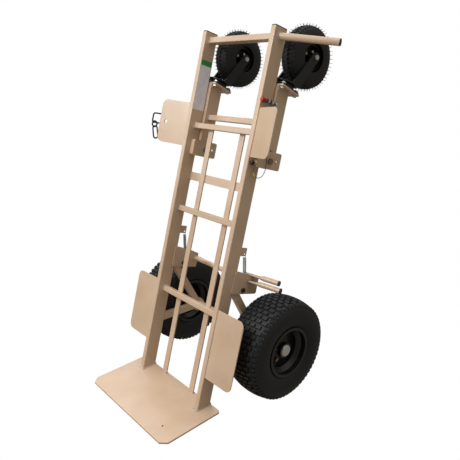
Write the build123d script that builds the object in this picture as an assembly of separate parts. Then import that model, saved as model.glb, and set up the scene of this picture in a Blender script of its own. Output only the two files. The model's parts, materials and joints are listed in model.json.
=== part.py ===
from build123d import *
import math
import os

# Four-wheel hand truck: a leaning steel frame on a toe plate and two large pneumatic wheels, with
# two swivelling wheels on a rear frame that folds down. Lengths are millimetres, angles degrees.
# X points to the right as seen from the front, Y to the back and Z up. The origin is on the floor,
# midway between the rails, under their front faces at the toe plate.
# Most of the frame is drawn upright, with y measured back from the rails' front faces and z up the
# rails from the toe plate, and then leaned back as one.

# Stance
LEAN = 17.7

# Toe plate
PLATE_THICKNESS = 8.0
PLATE_WIDTH = 586.0
PLATE_REACH = 220.5
PLATE_FRONT_CORNER = 26.0
PLATE_REAR_CORNER = 9.0
PLATE_HOLE_DIAMETER = 9.0
PLATE_HOLE_FROM_SIDE = 95.0
PLATE_HOLE_FROM_FRONT = 63.5

# Rails
FRAME_WIDTH = 450.0
RAIL_WIDTH = 25.0
RAIL_DEPTH = 68.0
RAIL_WALL = 3.0
RAIL_CORNER = 4.0
RAIL_LENGTH = 1595.0
PLUG_HEAD = 4.0
PLUG_STEM = 18.0

# Rungs and bars between the rails
RUNG_SIZE = 25.0
RUNG_WALL = 2.5
RUNG_CORNER = 3.5
RUNG_SETBACK = 29.0
LOWER_RUNG_HEIGHT = 408.0
MIDDLE_RUNG_HEIGHT = 799.0
UPPER_RUNG_HEIGHT = 1184.0
TOP_BAR_DROP = 32.0
TOP_BAR_DEPTH = 38.0
TOP_BAR_SETBACK = 24.0
BACK_BAR_WIDTH = 31.0
BACK_BAR_THICKNESS = 6.0
BACK_BAR_SPACING = 206.0
MID_BAR_TALL = 37.0
MID_BAR_THICKNESS = 6.0
MID_BAR_HEIGHT = 954.0

# Side wings
WING_THICKNESS = 5.0
WING_CORNER = 28.0
LOWER_WING_WIDTH = 156.0
LOWER_WING_BOTTOM = 150.0
LOWER_WING_TALL = 297.0
UPPER_WING_WIDTH = 151.0
UPPER_WING_BOTTOM = 1083.0
UPPER_WING_TALL = 196.0
UPPER_WING_BEND = 19.5
WING_HOLE_DIAMETER = 16.0
WING_HOLE_ALONG = 119.0
WING_HOLE_UP = 97.0

# Side handle
HANDLE_DIAMETER = 28.0
HANDLE_WALL = 2.5
HANDLE_LENGTH = 234.0
HANDLE_SWEEP = 26.0
HANDLE_DROP = 32.0
HANDLE_SETBACK = 37.0

# Axle and its supports
AXLE_SETBACK = 357.0
AXLE_DIAMETER = 25.0
AXLE_TUBE_DIAMETER = 42.0
AXLE_BOSS_DIAMETER = 64.0
AXLE_ARM_WIDTH = 30.0
AXLE_ARM_HEIGHT = 252.0
STRUT_WIDTH = 30.0
STRUT_RISE = 85.0
AXLE_CAP_DIAMETER = 48.0
AXLE_CAP_HEAD = 5.0

# Main wheels
WHEEL_DIAMETER = 448.0
WHEEL_CLEARANCE = 18.5
TREAD_WIDTH = 162.0
TREAD_DROP = 11.0
TYRE_BULGE = 14.0
TYRE_WALL = 9.0
RIM_SEAT_DIAMETER = 206.0
RIM_FLANGE_DIAMETER = 224.0
RIM_WIDTH = 168.0
RIM_WELL_DIAMETER = 172.0
RIM_WELL_WIDTH = 84.0
RIM_WELL_SLOPE = 45.0
RIM_SHEET = 4.0
RIM_DISC_OFFSET = 30.0
HUB_DIAMETER = 66.0
HUB_OUTER_REACH = 60.0
HUB_INNER_REACH = 82.0
BEARING_DIAMETER = 52.0
BEARING_WIDTH = 15.0
VALVE_DIAMETER = 8.0
VALVE_LENGTH = 30.0
VALVE_TURN = 152.0

# Rear wheel frame that folds back on two pivots behind the rails
ARM_WIDTH = 56.0
ARM_DEPTH = 66.0
ARM_WALL = 3.0
ARM_OUTSET = 12.5
ARM_RAIL_GAP = 1.0
ARM_PIVOT_HEIGHT = 1083.0
ARM_TOP_HEIGHT = 1376.0
ARM_HOLE_DIAMETER = 9.0
ARM_HOLE_UP = 41.0
ARM_BAR_SETBACK = 19.0
ARM_BAR_DROP = 143.0
PIVOT_BOLT_DIAMETER = 16.0
PIVOT_SLEEVE_WALL = 5.0
BOLT_HEAD_TALL = 7.0
BOLT_HEAD_RATIO = 1.5
BRACKET_THICKNESS = 6.0
BRACKET_FRONT = 30.0
BRACKET_REAR = 165.0
BRACKET_BELOW = 33.0
BRACKET_TALL = 72.0
BRACKET_CORNER = 9.0
BRACKET_HOLE_DIAMETER = 10.0
BRACKET_HOLE_BACK = 41.0
BRACKET_HOLE_UP = 5.0

# Swivelling wheels
STEM_TILT = 11.0
MOUNT_WIDTH = 100.0
MOUNT_LENGTH = 108.0
MOUNT_RAIL_GAP = 2.0
MOUNT_THICKNESS = 8.0
MOUNT_CORNER = 5.0
CASTER_PLATE_WIDTH = 96.0
CASTER_PLATE_LENGTH = 104.0
CASTER_PLATE_THICKNESS = 6.0
CASTER_PLATE_CORNER = 9.0
CASTER_BOLT_SPACING_X = 72.0
CASTER_BOLT_SPACING_Y = 82.0
CASTER_BOLT_DIAMETER = 10.0
CASTER_RISE = 171.5
CASTER_TRAIL = 70.0
KINGPIN_DIAMETER = 18.0
RACEWAY_DIAMETER = 84.0
RACEWAY_TALL = 14.0
FORK_SHEET = 6.0
FORK_CROWN_DIAMETER = 108.0
FORK_LEG_FRONT = 8.0
FORK_LEG_REAR = 38.0
FORK_EYE_DIAMETER = 40.0
CASTER_DIAMETER = 254.0
CASTER_WIDTH = 86.0
CASTER_TREAD_WIDTH = 52.0
CASTER_TREAD_DROP = 10.0
CASTER_TYRE_WALL = 8.0
CASTER_SEAT_DIAMETER = 104.0
CASTER_FLANGE_DIAMETER = 116.0
CASTER_RIM_WIDTH = 58.0
CASTER_RIM_SHEET = 4.0
CASTER_HUB_DIAMETER = 36.0
CASTER_AXLE_DIAMETER = 12.0
CASTER_FORK_ROOM = 4.0

# Foot lever, with its heights measured from its pivot where the struts meet the rails
LEVER_PLATE = 6.0
LEVER_FRONT = 53.0
LEVER_REAR = 198.0
LEVER_BELOW = 18.0
LEVER_FRONT_RISE = 80.0
LEVER_REAR_RISE = 53.0
LEVER_CORNER = 9.0
LEVER_PIVOT_BACK = 113.0
LEVER_BOLT_DIAMETER = 12.0
LUG_RADIUS = 18.0
LEVER_TUBE_DIAMETER = 22.0
LEVER_TUBE_WALL = 2.5
LEVER_TUBE_BACK = 183.0
LEVER_TUBE_RISE = 28.0
TOE_BAR_DIAMETER = 19.0
TOE_BAR_WALL = 2.0
TOE_BAR_SWEEP = 17.5
UPPER_TOE_BAR_LENGTH = 163.0
UPPER_TOE_BAR_BACK = 144.0
UPPER_TOE_BAR_RISE = 65.0
LOWER_TOE_BAR_LENGTH = 144.0
LOWER_TOE_BAR_BACK = 145.0
LOWER_TOE_BAR_RISE = 39.0
TOE_PLUG_HEAD = 5.0
TOE_PLUG_STEM = 10.0

# Return springs of the foot lever
SPRING_TAB_THICKNESS = 4.0
SPRING_TAB_REACH = 40.0
SPRING_TAB_RISE = 143.0
SPRING_TAB_TALL = 36.0
SPRING_HOLE_DIAMETER = 8.0
SPRING_HOLE_BACK = 32.0
SPRING_HOLE_UP = 9.0
SPRING_PIN_DIAMETER = 6.0
SPRING_PIN_BACK = 128.0
SPRING_PIN_RISE = 52.0
SPRING_WIRE = 2.4
SPRING_DIAMETER = 14.5
SPRING_TURNS = 12
SPRING_PITCH = 5.6
SPRING_HOOK_RADIUS = 6.2

# Latches of the rear wheel frame
LATCH_PIN_DIAMETER = 7.0
LATCH_OUTSET = 8.5
LATCH_BARREL_DIAMETER = 16.4
LATCH_PARK_GAP = 0.7
STOW_LATCH_HEIGHT = 1311.0
STOW_HOUSING_FRONT = 18.0
STOW_HOUSING_LENGTH = 44.0
STOW_BASE_TALL = 24.0
STOW_BASE_THICKNESS = 3.0
STOW_KNOB_LENGTH = 22.0
STOW_KNOB_DIAMETER = 12.5
DEPLOY_LATCH_DROP = 19.0
DEPLOY_COLLAR_LENGTH = 7.0
DEPLOY_KNOB_LENGTH = 15.0
DEPLOY_KNOB_DIAMETER = 16.0

# Lanyard between the latches: points of its route beside the right rail, in the upright frame
LANYARD_DIAMETER = 3.0
LANYARD_ROUTE = [
    (233.5, 50.0, 1302.5),
    (234.0, 50.5, 1286.0),
    (236.0, 53.0, 1257.0),
    (241.0, 58.0, 1217.0),
    (247.0, 62.0, 1171.0),
    (249.5, 67.0, 1126.0),
    (250.5, 75.0, 1086.0),
    (250.0, 81.0, 1053.0),
    (248.5, 77.0, 1026.0),
    (246.0, 63.0, 1009.0),
    (242.5, 45.0, 1007.0),
    (238.0, 32.5, 1018.0),
    (234.5, 27.0, 1034.0),
    (233.5, 26.5, 1049.0),
    (233.4, 26.5, 1055.4),
]

# Strap loop and snap hook on the left wing
LOOP_WIRE = 6.0
LOOP_REACH = 40.0
LOOP_TALL = 44.0
LOOP_ANCHOR = 30.0
LOOP_BEND = 9.0
LOOP_UP = 104.0
HOOK_WIRE = 6.0
HOOK_EYE_RADIUS = 13.0
HOOK_BODY_RADIUS = 12.0
HOOK_BODY_LENGTH = 34.0
HOOK_FROM_END = 15.0

# Fits
SHAFT_FIT = 0.05
SEAT_FIT = 0.3
PLATE_FIT = 0.4

# Places that follow from the sizes above
RAIL_OUTER = FRAME_WIDTH / 2
RAIL_INNER = RAIL_OUTER - RAIL_WIDTH
RAIL_CENTRE = (RAIL_OUTER + RAIL_INNER) / 2
TOP_BAR_HEIGHT = RAIL_LENGTH - TOP_BAR_DROP
HANDLE_HEIGHT = RAIL_LENGTH - HANDLE_DROP
WHEEL_RADIUS = WHEEL_DIAMETER / 2
WHEEL_TRACK = FRAME_WIDTH + 2 * (WHEEL_CLEARANCE + TYRE_BULGE) + TREAD_WIDTH
STRUT_HEIGHT = WHEEL_DIAMETER + STRUT_RISE
LEVER_PIVOT_HEIGHT = STRUT_HEIGHT
LEVER_BOTTOM = LEVER_PIVOT_HEIGHT - LEVER_BELOW
LEVER_TOP_FRONT = LEVER_PIVOT_HEIGHT + LEVER_FRONT_RISE
LEVER_TOP_REAR = LEVER_PIVOT_HEIGHT + LEVER_REAR_RISE
LEVER_TUBE_HEIGHT = LEVER_PIVOT_HEIGHT + LEVER_TUBE_RISE
UPPER_TOE_BAR_HEIGHT = LEVER_PIVOT_HEIGHT + UPPER_TOE_BAR_RISE
LOWER_TOE_BAR_HEIGHT = LEVER_PIVOT_HEIGHT + LOWER_TOE_BAR_RISE
SPRING_PIN_HEIGHT = LEVER_PIVOT_HEIGHT + SPRING_PIN_RISE
SPRING_TAB_BOTTOM = LEVER_PIVOT_HEIGHT + SPRING_TAB_RISE
ARM_OUTER = RAIL_OUTER + ARM_OUTSET
ARM_INNER = ARM_OUTER - ARM_WIDTH
ARM_CENTRE = (ARM_OUTER + ARM_INNER) / 2
ARM_FRONT = RAIL_DEPTH + ARM_RAIL_GAP
ARM_PIVOT_BACK = ARM_FRONT + ARM_DEPTH / 2
ARM_BAR_HEIGHT = ARM_TOP_HEIGHT - ARM_BAR_DROP
BRACKET_BOTTOM = ARM_PIVOT_HEIGHT - BRACKET_BELOW
BRACKET_OUTER = ARM_OUTER + PLATE_FIT
BRACKET_INNER = ARM_INNER - PLATE_FIT
LEVER_OUTER = RAIL_OUTER + PLATE_FIT
LEVER_INNER = RAIL_INNER - PLATE_FIT
LATCH_X = RAIL_OUTER + LATCH_OUTSET
DEPLOY_LATCH_HEIGHT = ARM_PIVOT_HEIGHT - DEPLOY_LATCH_DROP
LATCH_TIP = ARM_FRONT - LATCH_PARK_GAP
LATCH_BORE = LATCH_PIN_DIAMETER + 2 * SHAFT_FIT
BACK_BAR_FRONT = RUNG_SETBACK + RUNG_SIZE
MID_BAR_FRONT = BACK_BAR_FRONT + BACK_BAR_THICKNESS
WING_FRONT = RAIL_CORNER
STEM_BACK = RAIL_DEPTH + MOUNT_RAIL_GAP + MOUNT_LENGTH / 2 * math.cos(math.radians(STEM_TILT))

LEANED = Pos(0, 0, PLATE_THICKNESS) * Rot(X=-LEAN)


def upright(y, z):
    """A floor-frame point of the side view as seen in the upright frame of the rails."""
    lean = math.radians(LEAN)
    up = z - PLATE_THICKNESS
    return (
        y * math.cos(lean) - up * math.sin(lean),
        y * math.sin(lean) + up * math.cos(lean),
    )


AXLE_POINT = upright(AXLE_SETBACK, WHEEL_RADIUS)


def block(x, y, z):
    """A box given by its (low, high) limits."""
    centre = Pos(sum(x) / 2, sum(y) / 2, sum(z) / 2)
    return centre * Box(x[1] - x[0], y[1] - y[0], z[1] - z[0])


def rod(x, point, diameter):
    """A round bar along X between two x values, at a (y, z) point."""
    centre = Pos(sum(x) / 2, point[0], point[1])
    return centre * Rot(Y=90) * Cylinder(diameter / 2, x[1] - x[0])


def hexagon(x, point, across):
    """A hexagonal head along X between two x values, at a (y, z) point."""
    start = Plane.YZ.offset(x[0]) * Pos(*point)
    return extrude(start * RegularPolygon(across / 2, 6, major_radius=False), x[1] - x[0])


def sheet(x, outline):
    """A plate across X, from a side-view outline in y and z."""
    return extrude(Plane.YZ.offset(x[0]) * outline, x[1] - x[0])


def strip(start, end, width):
    """The side-view outline of a straight bar between two points."""
    run = (end[0] - start[0], end[1] - start[1])
    middle = Pos((start[0] + end[0]) / 2, (start[1] + end[1]) / 2)
    turn = Rot(Z=math.degrees(math.atan2(run[1], run[0])))
    return middle * turn * Rectangle(math.hypot(*run), width)


def disc(point, diameter):
    """A round side-view outline."""
    return Pos(*point) * Circle(diameter / 2)


def window(y, z):
    """A rectangular side-view outline given by its limits."""
    return Pos(sum(y) / 2, sum(z) / 2) * Rectangle(y[1] - y[0], z[1] - z[0])


def mirrored(shape):
    """The same piece on the other side of the truck."""
    return mirror(shape, about=Plane.YZ)


def group(pieces):
    """Separate pieces that share one node."""
    return Compound(children=[solid for piece in pieces for solid in piece.solids()])


def tube_section(width, depth, corner, wall):
    """The cross-section of a square tube with rounded corners."""
    outside = RectangleRounded(width, depth, corner)
    inside = RectangleRounded(width - 2 * wall, depth - 2 * wall, max(corner - wall, wall / 4))
    return outside - inside


def round_tube(length, diameter, wall):
    """A round tube that starts at the origin and runs along Z."""
    return extrude(Circle(diameter / 2) - Circle(diameter / 2 - wall), length)


def above_plate(leaned):
    """Cuts a leaned piece level with the top of the toe plate."""
    return split(leaned, bisect_by=Plane.XY.offset(PLATE_THICKNESS), keep=Keep.TOP)


# Frame

def toe_plate():
    half = PLATE_WIDTH / 2
    back = RAIL_DEPTH / math.cos(math.radians(LEAN))
    outline = Polygon(
        (-half + PLATE_FRONT_CORNER, -PLATE_REACH),
        (half - PLATE_FRONT_CORNER, -PLATE_REACH),
        (half, -PLATE_REACH + PLATE_FRONT_CORNER),
        (half, back - PLATE_REAR_CORNER),
        (half - PLATE_REAR_CORNER, back),
        (-half + PLATE_REAR_CORNER, back),
        (-half, back - PLATE_REAR_CORNER),
        (-half, -PLATE_REACH + PLATE_FRONT_CORNER),
        align=None,
    )
    hole = Pos(half - PLATE_HOLE_FROM_SIDE, PLATE_HOLE_FROM_FRONT - PLATE_REACH)
    outline -= hole * Circle(PLATE_HOLE_DIAMETER / 2)
    return extrude(outline, PLATE_THICKNESS)


def rail():
    section = Pos(RAIL_CENTRE, RAIL_DEPTH / 2, -RAIL_WIDTH) * tube_section(
        RAIL_WIDTH, RAIL_DEPTH, RAIL_CORNER, RAIL_WALL
    )
    return above_plate(LEANED * extrude(section, RAIL_LENGTH + RAIL_WIDTH))


def rail_plug():
    inset = RAIL_WALL + SEAT_FIT
    head = extrude(RectangleRounded(RAIL_WIDTH, RAIL_DEPTH, RAIL_CORNER), PLUG_HEAD)
    head = chamfer(head.faces().sort_by(Axis.Z)[-1].edges(), PLUG_HEAD / 3)
    stem = Pos(0, 0, -PLUG_STEM / 2) * Box(RAIL_WIDTH - 2 * inset, RAIL_DEPTH - 2 * inset, PLUG_STEM)
    return LEANED * Pos(RAIL_CENTRE, RAIL_DEPTH / 2, RAIL_LENGTH) * (head + stem)


def rung(height, setback=RUNG_SETBACK, depth=RUNG_SIZE):
    section = tube_section(depth, RUNG_SIZE, RUNG_CORNER, RUNG_WALL)
    place = Pos(setback + depth / 2, height)
    return LEANED * sheet((-RAIL_INNER, RAIL_INNER), place * section)


def back_bar():
    half = BACK_BAR_WIDTH / 2
    across = (BACK_BAR_SPACING / 2 - half, BACK_BAR_SPACING / 2 + half)
    deep = (BACK_BAR_FRONT, BACK_BAR_FRONT + BACK_BAR_THICKNESS)
    return above_plate(LEANED * block(across, deep, (0, UPPER_RUNG_HEIGHT + RUNG_SIZE / 2)))


def mid_crossbar():
    half = MID_BAR_TALL / 2
    deep = (MID_BAR_FRONT, MID_BAR_FRONT + MID_BAR_THICKNESS)
    tall = (MID_BAR_HEIGHT - half, MID_BAR_HEIGHT + half)
    return LEANED * block((-RAIL_INNER, RAIL_INNER), deep, tall)


def lower_wing():
    across = (RAIL_OUTER, RAIL_OUTER + LOWER_WING_WIDTH)
    deep = (WING_FRONT, WING_FRONT + WING_THICKNESS)
    wing = block(across, deep, (LOWER_WING_BOTTOM, LOWER_WING_BOTTOM + LOWER_WING_TALL))
    outer_corners = wing.edges().filter_by(Axis.Y).group_by(Axis.X)[-1]
    return LEANED * fillet(outer_corners, WING_CORNER)


def upper_wing():
    bend = math.radians(UPPER_WING_BEND)
    along = (math.cos(bend), -math.sin(bend))
    tip = (RAIL_OUTER + UPPER_WING_WIDTH * along[0], WING_FRONT + UPPER_WING_WIDTH * along[1])
    section = Polygon(
        (RAIL_OUTER, WING_FRONT),
        tip,
        (tip[0] - WING_THICKNESS * along[1], tip[1] + WING_THICKNESS * along[0]),
        (RAIL_OUTER, WING_FRONT + WING_THICKNESS / along[0]),
        align=None,
    )
    wing = extrude(Pos(0, 0, UPPER_WING_BOTTOM) * section, UPPER_WING_TALL)
    ends = wing.faces().sort_by(Axis.X)[-1]
    return fillet(ends.edges().filter_by(Axis.Z, reverse=True), WING_CORNER)


def wing_face():
    """The left wing's rear face: x runs outward along the wing, y up and z out of the face."""
    bend = math.radians(UPPER_WING_BEND)
    outward = (-math.cos(bend), -math.sin(bend), 0)
    rearward = (-math.sin(bend), math.cos(bend), 0)
    corner = (-RAIL_OUTER, WING_FRONT + WING_THICKNESS / math.cos(bend), UPPER_WING_BOTTOM)
    return Plane(corner, x_dir=outward, z_dir=rearward).location


def left_upper_wing():
    bore = Pos(WING_HOLE_ALONG, WING_HOLE_UP) * Cylinder(WING_HOLE_DIAMETER / 2, 4 * WING_THICKNESS)
    return LEANED * (mirrored(upper_wing()) - wing_face() * bore)


def strap_loop():
    """A bent wire loop for a strap, welded to the back of the left wing and reaching past it."""
    low = LOOP_UP - LOOP_TALL / 2
    high = LOOP_UP + LOOP_TALL / 2
    root = UPPER_WING_WIDTH - LOOP_ANCHOR
    tip = UPPER_WING_WIDTH + LOOP_REACH
    path = FilletPolyline((root, low), (tip, low), (tip, high), (root, high), radius=LOOP_BEND)
    wire = sweep(Plane((root, low, 0), z_dir=(1, 0, 0)) * Circle(LOOP_WIRE / 2), path=path)
    return LEANED * wing_face() * Pos(0, 0, LOOP_WIRE / 2) * wire


def hook_hang():
    """The floor-frame point where the snap hook's eye hangs on the loop's lower wire."""
    along = UPPER_WING_WIDTH + LOOP_REACH - HOOK_FROM_END
    on_wire = wing_face() * Pos(along, LOOP_UP - LOOP_TALL / 2, LOOP_WIRE / 2)
    return (LEANED * on_wire).position


def snap_hook():
    """A wire snap hook: a round eye over the loop and a long link below it, hanging plumb."""
    radius = HOOK_WIRE / 2
    eye_drop = HOOK_EYE_RADIUS - LOOP_WIRE / 2 - radius - SEAT_FIT
    link_drop = eye_drop + HOOK_EYE_RADIUS + HOOK_BODY_LENGTH / 2 + HOOK_BODY_RADIUS - radius
    side_on = Plane(hook_hang(), x_dir=(0, 1, 0), z_dir=(1, 0, 0))
    eye = side_on * Pos(0, -eye_drop) * Torus(HOOK_EYE_RADIUS, radius)
    link_path = Pos(0, -link_drop) * SlotCenterToCenter(
        HOOK_BODY_LENGTH, 2 * HOOK_BODY_RADIUS, rotation=90
    ).wire()
    start = Plane((HOOK_BODY_RADIUS, -link_drop, 0), z_dir=(0, 1, 0))
    link = side_on * sweep(start * Circle(radius), path=link_path)
    return eye + link


def side_handle():
    along = Rot(Z=HANDLE_SWEEP) * Rot(Y=90)
    root = HANDLE_DIAMETER * math.tan(math.radians(HANDLE_SWEEP))
    tube = along * Pos(0, 0, -root) * round_tube(HANDLE_LENGTH + root, HANDLE_DIAMETER, HANDLE_WALL)
    tube = Pos(RAIL_OUTER, HANDLE_SETBACK, HANDLE_HEIGHT) * tube
    return LEANED * split(tube, bisect_by=Plane.YZ.offset(RAIL_OUTER), keep=Keep.TOP)


def handle_plug():
    head = fillet(Cylinder(HANDLE_DIAMETER / 2, PLUG_HEAD).edges().sort_by(Axis.Z)[-1], PLUG_HEAD / 2)
    stem_radius = HANDLE_DIAMETER / 2 - HANDLE_WALL - SEAT_FIT
    stem = Pos(0, 0, -(PLUG_HEAD + PLUG_STEM) / 2) * Cylinder(stem_radius, PLUG_STEM)
    along = Rot(Z=HANDLE_SWEEP) * Rot(Y=90) * Pos(0, 0, HANDLE_LENGTH + PLUG_HEAD / 2)
    return LEANED * Pos(RAIL_OUTER, HANDLE_SETBACK, HANDLE_HEIGHT) * along * (head + stem)


# Axle and its supports

def axle_arm_outline():
    bar = strip((RAIL_DEPTH - AXLE_ARM_WIDTH, AXLE_ARM_HEIGHT), AXLE_POINT, AXLE_ARM_WIDTH)
    return bar + disc(AXLE_POINT, AXLE_BOSS_DIAMETER)


def strut_outline():
    """The diagonal strut, cut to the rail in front and to the axle arm below."""
    run = (AXLE_POINT[0] - RAIL_DEPTH, AXLE_POINT[1] - STRUT_HEIGHT)
    beyond = STRUT_WIDTH / math.hypot(*run)
    start = (RAIL_DEPTH - beyond * run[0], STRUT_HEIGHT - beyond * run[1])
    return strip(start, AXLE_POINT, STRUT_WIDTH) - axle_arm_outline() - rail_window()


def rail_window():
    """The side view that the rails fill."""
    return window((-RAIL_DEPTH, RAIL_DEPTH), (-RAIL_LENGTH, RAIL_LENGTH))


def axle_arm():
    bore = disc(AXLE_POINT, AXLE_TUBE_DIAMETER + 2 * SHAFT_FIT)
    return LEANED * sheet((RAIL_INNER, RAIL_OUTER), axle_arm_outline() - bore - rail_window())


def axle_strut():
    return LEANED * sheet((RAIL_INNER, RAIL_OUTER), strut_outline())


def axle_tube():
    reach = WHEEL_TRACK / 2 - HUB_INNER_REACH - SEAT_FIT
    bore = rod((-reach, reach), AXLE_POINT, AXLE_DIAMETER + 2 * SHAFT_FIT)
    return LEANED * (rod((-reach, reach), AXLE_POINT, AXLE_TUBE_DIAMETER) - bore)


def axle_end():
    return WHEEL_TRACK / 2 + HUB_OUTER_REACH + SEAT_FIT


def axle_shaft():
    return LEANED * rod((-axle_end(), axle_end()), AXLE_POINT, AXLE_DIAMETER)


def axle_cap():
    """A round cap on the axle's end that keeps the wheel on."""
    start = axle_end()
    head = rod((start, start + AXLE_CAP_HEAD), AXLE_POINT, AXLE_CAP_DIAMETER)
    outer_rim = head.edges().group_by(Axis.X)[-1]
    return LEANED * chamfer(outer_rim, AXLE_CAP_HEAD / 3)


# Main wheels

def revolved(section):
    """Turns a wheel section, drawn with x across the wheel and y outward, about its axle."""
    return revolve(section, Axis.X)


def tyre_half(half_tread, crown, drop, bulge, foot, neck):
    """One surface of a tyre's section, from bead to bead: upright bead, bulging side and crown."""
    shoulder = crown - drop
    side = (neck + shoulder) / 2
    return [
        Line((-foot[0], foot[1]), (-foot[0], neck)),
        ThreePointArc((-foot[0], neck), (-half_tread - bulge, side), (-half_tread, shoulder)),
        ThreePointArc((-half_tread, shoulder), (0, crown), (half_tread, shoulder)),
        ThreePointArc((half_tread, shoulder), (half_tread + bulge, side), (foot[0], neck)),
        Line((foot[0], neck), foot),
    ]


def tyre_section(radius, half_tread, drop, bulge, foot, neck, wall):
    """A tyre's wall between its outer and inner surfaces, open at the beads."""
    inner_foot = (foot[0] - wall, foot[1])
    outside = tyre_half(half_tread, radius, drop, bulge, foot, neck)
    inside = tyre_half(half_tread - wall, radius - wall, drop, bulge, inner_foot, neck)
    heels = [Line(foot, inner_foot), Line((-foot[0], foot[1]), (-inner_foot[0], foot[1]))]
    return make_face(Curve() + outside + inside + heels)


def main_tyre():
    bead = (RIM_WIDTH / 2 - RIM_SHEET - SEAT_FIT, RIM_SEAT_DIAMETER / 2 + SEAT_FIT)
    neck = RIM_FLANGE_DIAMETER / 2 + SEAT_FIT
    half_tread = TREAD_WIDTH / 2
    return revolved(
        tyre_section(WHEEL_RADIUS, half_tread, TREAD_DROP, TYRE_BULGE, bead, neck, TYRE_WALL)
    )


def main_rim():
    """A pressed steel rim with a well, a dished disc and a hub bored for two bearings."""
    half = RIM_WIDTH / 2
    flange = RIM_FLANGE_DIAMETER / 2
    seat = RIM_SEAT_DIAMETER / 2
    well = RIM_WELL_DIAMETER / 2
    well_half = RIM_WELL_WIDTH / 2
    slope = (seat - well) / math.tan(math.radians(RIM_WELL_SLOPE))
    barrel = Polygon(
        (-half, flange),
        (-half + RIM_SHEET, flange),
        (-half + RIM_SHEET, seat),
        (-well_half - slope, seat),
        (-well_half, well),
        (well_half, well),
        (well_half + slope, seat),
        (half - RIM_SHEET, seat),
        (half - RIM_SHEET, flange),
        (half, flange),
        (half, seat - RIM_SHEET),
        (well_half + slope + RIM_SHEET / 2, seat - RIM_SHEET),
        (well_half + RIM_SHEET / 2, well - RIM_SHEET),
        (-well_half - RIM_SHEET / 2, well - RIM_SHEET),
        (-well_half - slope - RIM_SHEET / 2, seat - RIM_SHEET),
        (-half, seat - RIM_SHEET),
        align=None,
    )
    hub = HUB_DIAMETER / 2
    dish = Polygon(
        (RIM_DISC_OFFSET, well - RIM_SHEET / 2),
        (RIM_DISC_OFFSET - RIM_SHEET, well - RIM_SHEET / 2),
        (RIM_DISC_OFFSET + RIM_SHEET, hub - RIM_SHEET / 2),
        (RIM_DISC_OFFSET + 3 * RIM_SHEET, hub - RIM_SHEET / 2),
        align=None,
    )
    bearing = BEARING_DIAMETER / 2 + SHAFT_FIT
    clear = AXLE_DIAMETER / 2 + RIM_SHEET
    sleeve = Polygon(
        (-HUB_INNER_REACH, hub),
        (HUB_OUTER_REACH, hub),
        (HUB_OUTER_REACH, bearing),
        (HUB_OUTER_REACH - BEARING_WIDTH, bearing),
        (HUB_OUTER_REACH - BEARING_WIDTH, clear),
        (-HUB_INNER_REACH + BEARING_WIDTH, clear),
        (-HUB_INNER_REACH + BEARING_WIDTH, bearing),
        (-HUB_INNER_REACH, bearing),
        align=None,
    )
    rim = revolved(barrel) + revolved(dish) + revolved(sleeve)
    return rim + valve((well_half + slope / 2, (well + seat - RIM_SHEET) / 2))


def valve(root):
    """The tyre valve, square to the slope of the rim's well on the outer side."""
    low = (Align.CENTER, Align.CENTER, Align.MIN)
    valve_stem = Cylinder(VALVE_DIAMETER / 2, VALVE_LENGTH, align=low)
    valve_stem = chamfer(valve_stem.edges().group_by(Axis.Z)[-1], VALVE_DIAMETER / 6)
    return Rot(X=VALVE_TURN) * Pos(root[0], root[1], 0) * Rot(Z=RIM_WELL_SLOPE - 90) * Rot(Y=90) * valve_stem


def wheel_bearings():
    """Two rings that carry the hub on the axle."""
    outside = Circle(BEARING_DIAMETER / 2)
    bore = Circle(AXLE_DIAMETER / 2 + SHAFT_FIT)
    ring = extrude(Plane.YZ * (outside - bore), BEARING_WIDTH)
    return [Pos(HUB_OUTER_REACH - BEARING_WIDTH, 0, 0) * ring, Pos(-HUB_INNER_REACH, 0, 0) * ring]


def at_wheel(piece):
    return Pos(WHEEL_TRACK / 2, AXLE_SETBACK, WHEEL_RADIUS) * piece


# Rear wheel frame

def pivot_point():
    return (ARM_PIVOT_BACK, ARM_PIVOT_HEIGHT)


def bracket_outline():
    rear = RectangleRounded(BRACKET_REAR - BRACKET_FRONT, BRACKET_TALL, BRACKET_CORNER)
    return Pos((BRACKET_FRONT + BRACKET_REAR) / 2, BRACKET_BOTTOM + BRACKET_TALL / 2) * rear


def bracket_holes():
    bolt = disc(pivot_point(), PIVOT_BOLT_DIAMETER + 2 * SHAFT_FIT)
    lock = (ARM_PIVOT_BACK + BRACKET_HOLE_BACK, ARM_PIVOT_HEIGHT + BRACKET_HOLE_UP)
    return bolt + disc(lock, BRACKET_HOLE_DIAMETER)


def bracket_pad(x):
    """The block that spaces a bracket plate off the side of its rail."""
    tall = (BRACKET_BOTTOM, BRACKET_BOTTOM + BRACKET_TALL)
    return sheet(x, bracket_outline() & window((BRACKET_FRONT, RAIL_DEPTH - RAIL_CORNER), tall))


def arm_bracket():
    """Two plates either side of the arm, each with its pad on the rail."""
    plate = bracket_outline() - bracket_holes()
    outer = sheet((BRACKET_OUTER, BRACKET_OUTER + BRACKET_THICKNESS), plate)
    outer += bracket_pad((RAIL_OUTER, BRACKET_OUTER))
    inner = sheet((BRACKET_INNER - BRACKET_THICKNESS, BRACKET_INNER), plate)
    inner += bracket_pad((BRACKET_INNER, RAIL_INNER))
    return outer, inner


def right_bracket():
    """The right bracket's outer pad is also bored for the deploy latch."""
    outer, inner = arm_bracket()
    bore = latch_rod((BRACKET_FRONT, RAIL_DEPTH), DEPLOY_LATCH_HEIGHT, LATCH_BORE)
    return [LEANED * (outer - bore), LEANED * inner]


def left_bracket():
    outer, inner = arm_bracket()
    return [LEANED * mirrored(outer), LEANED * mirrored(inner)]


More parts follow.
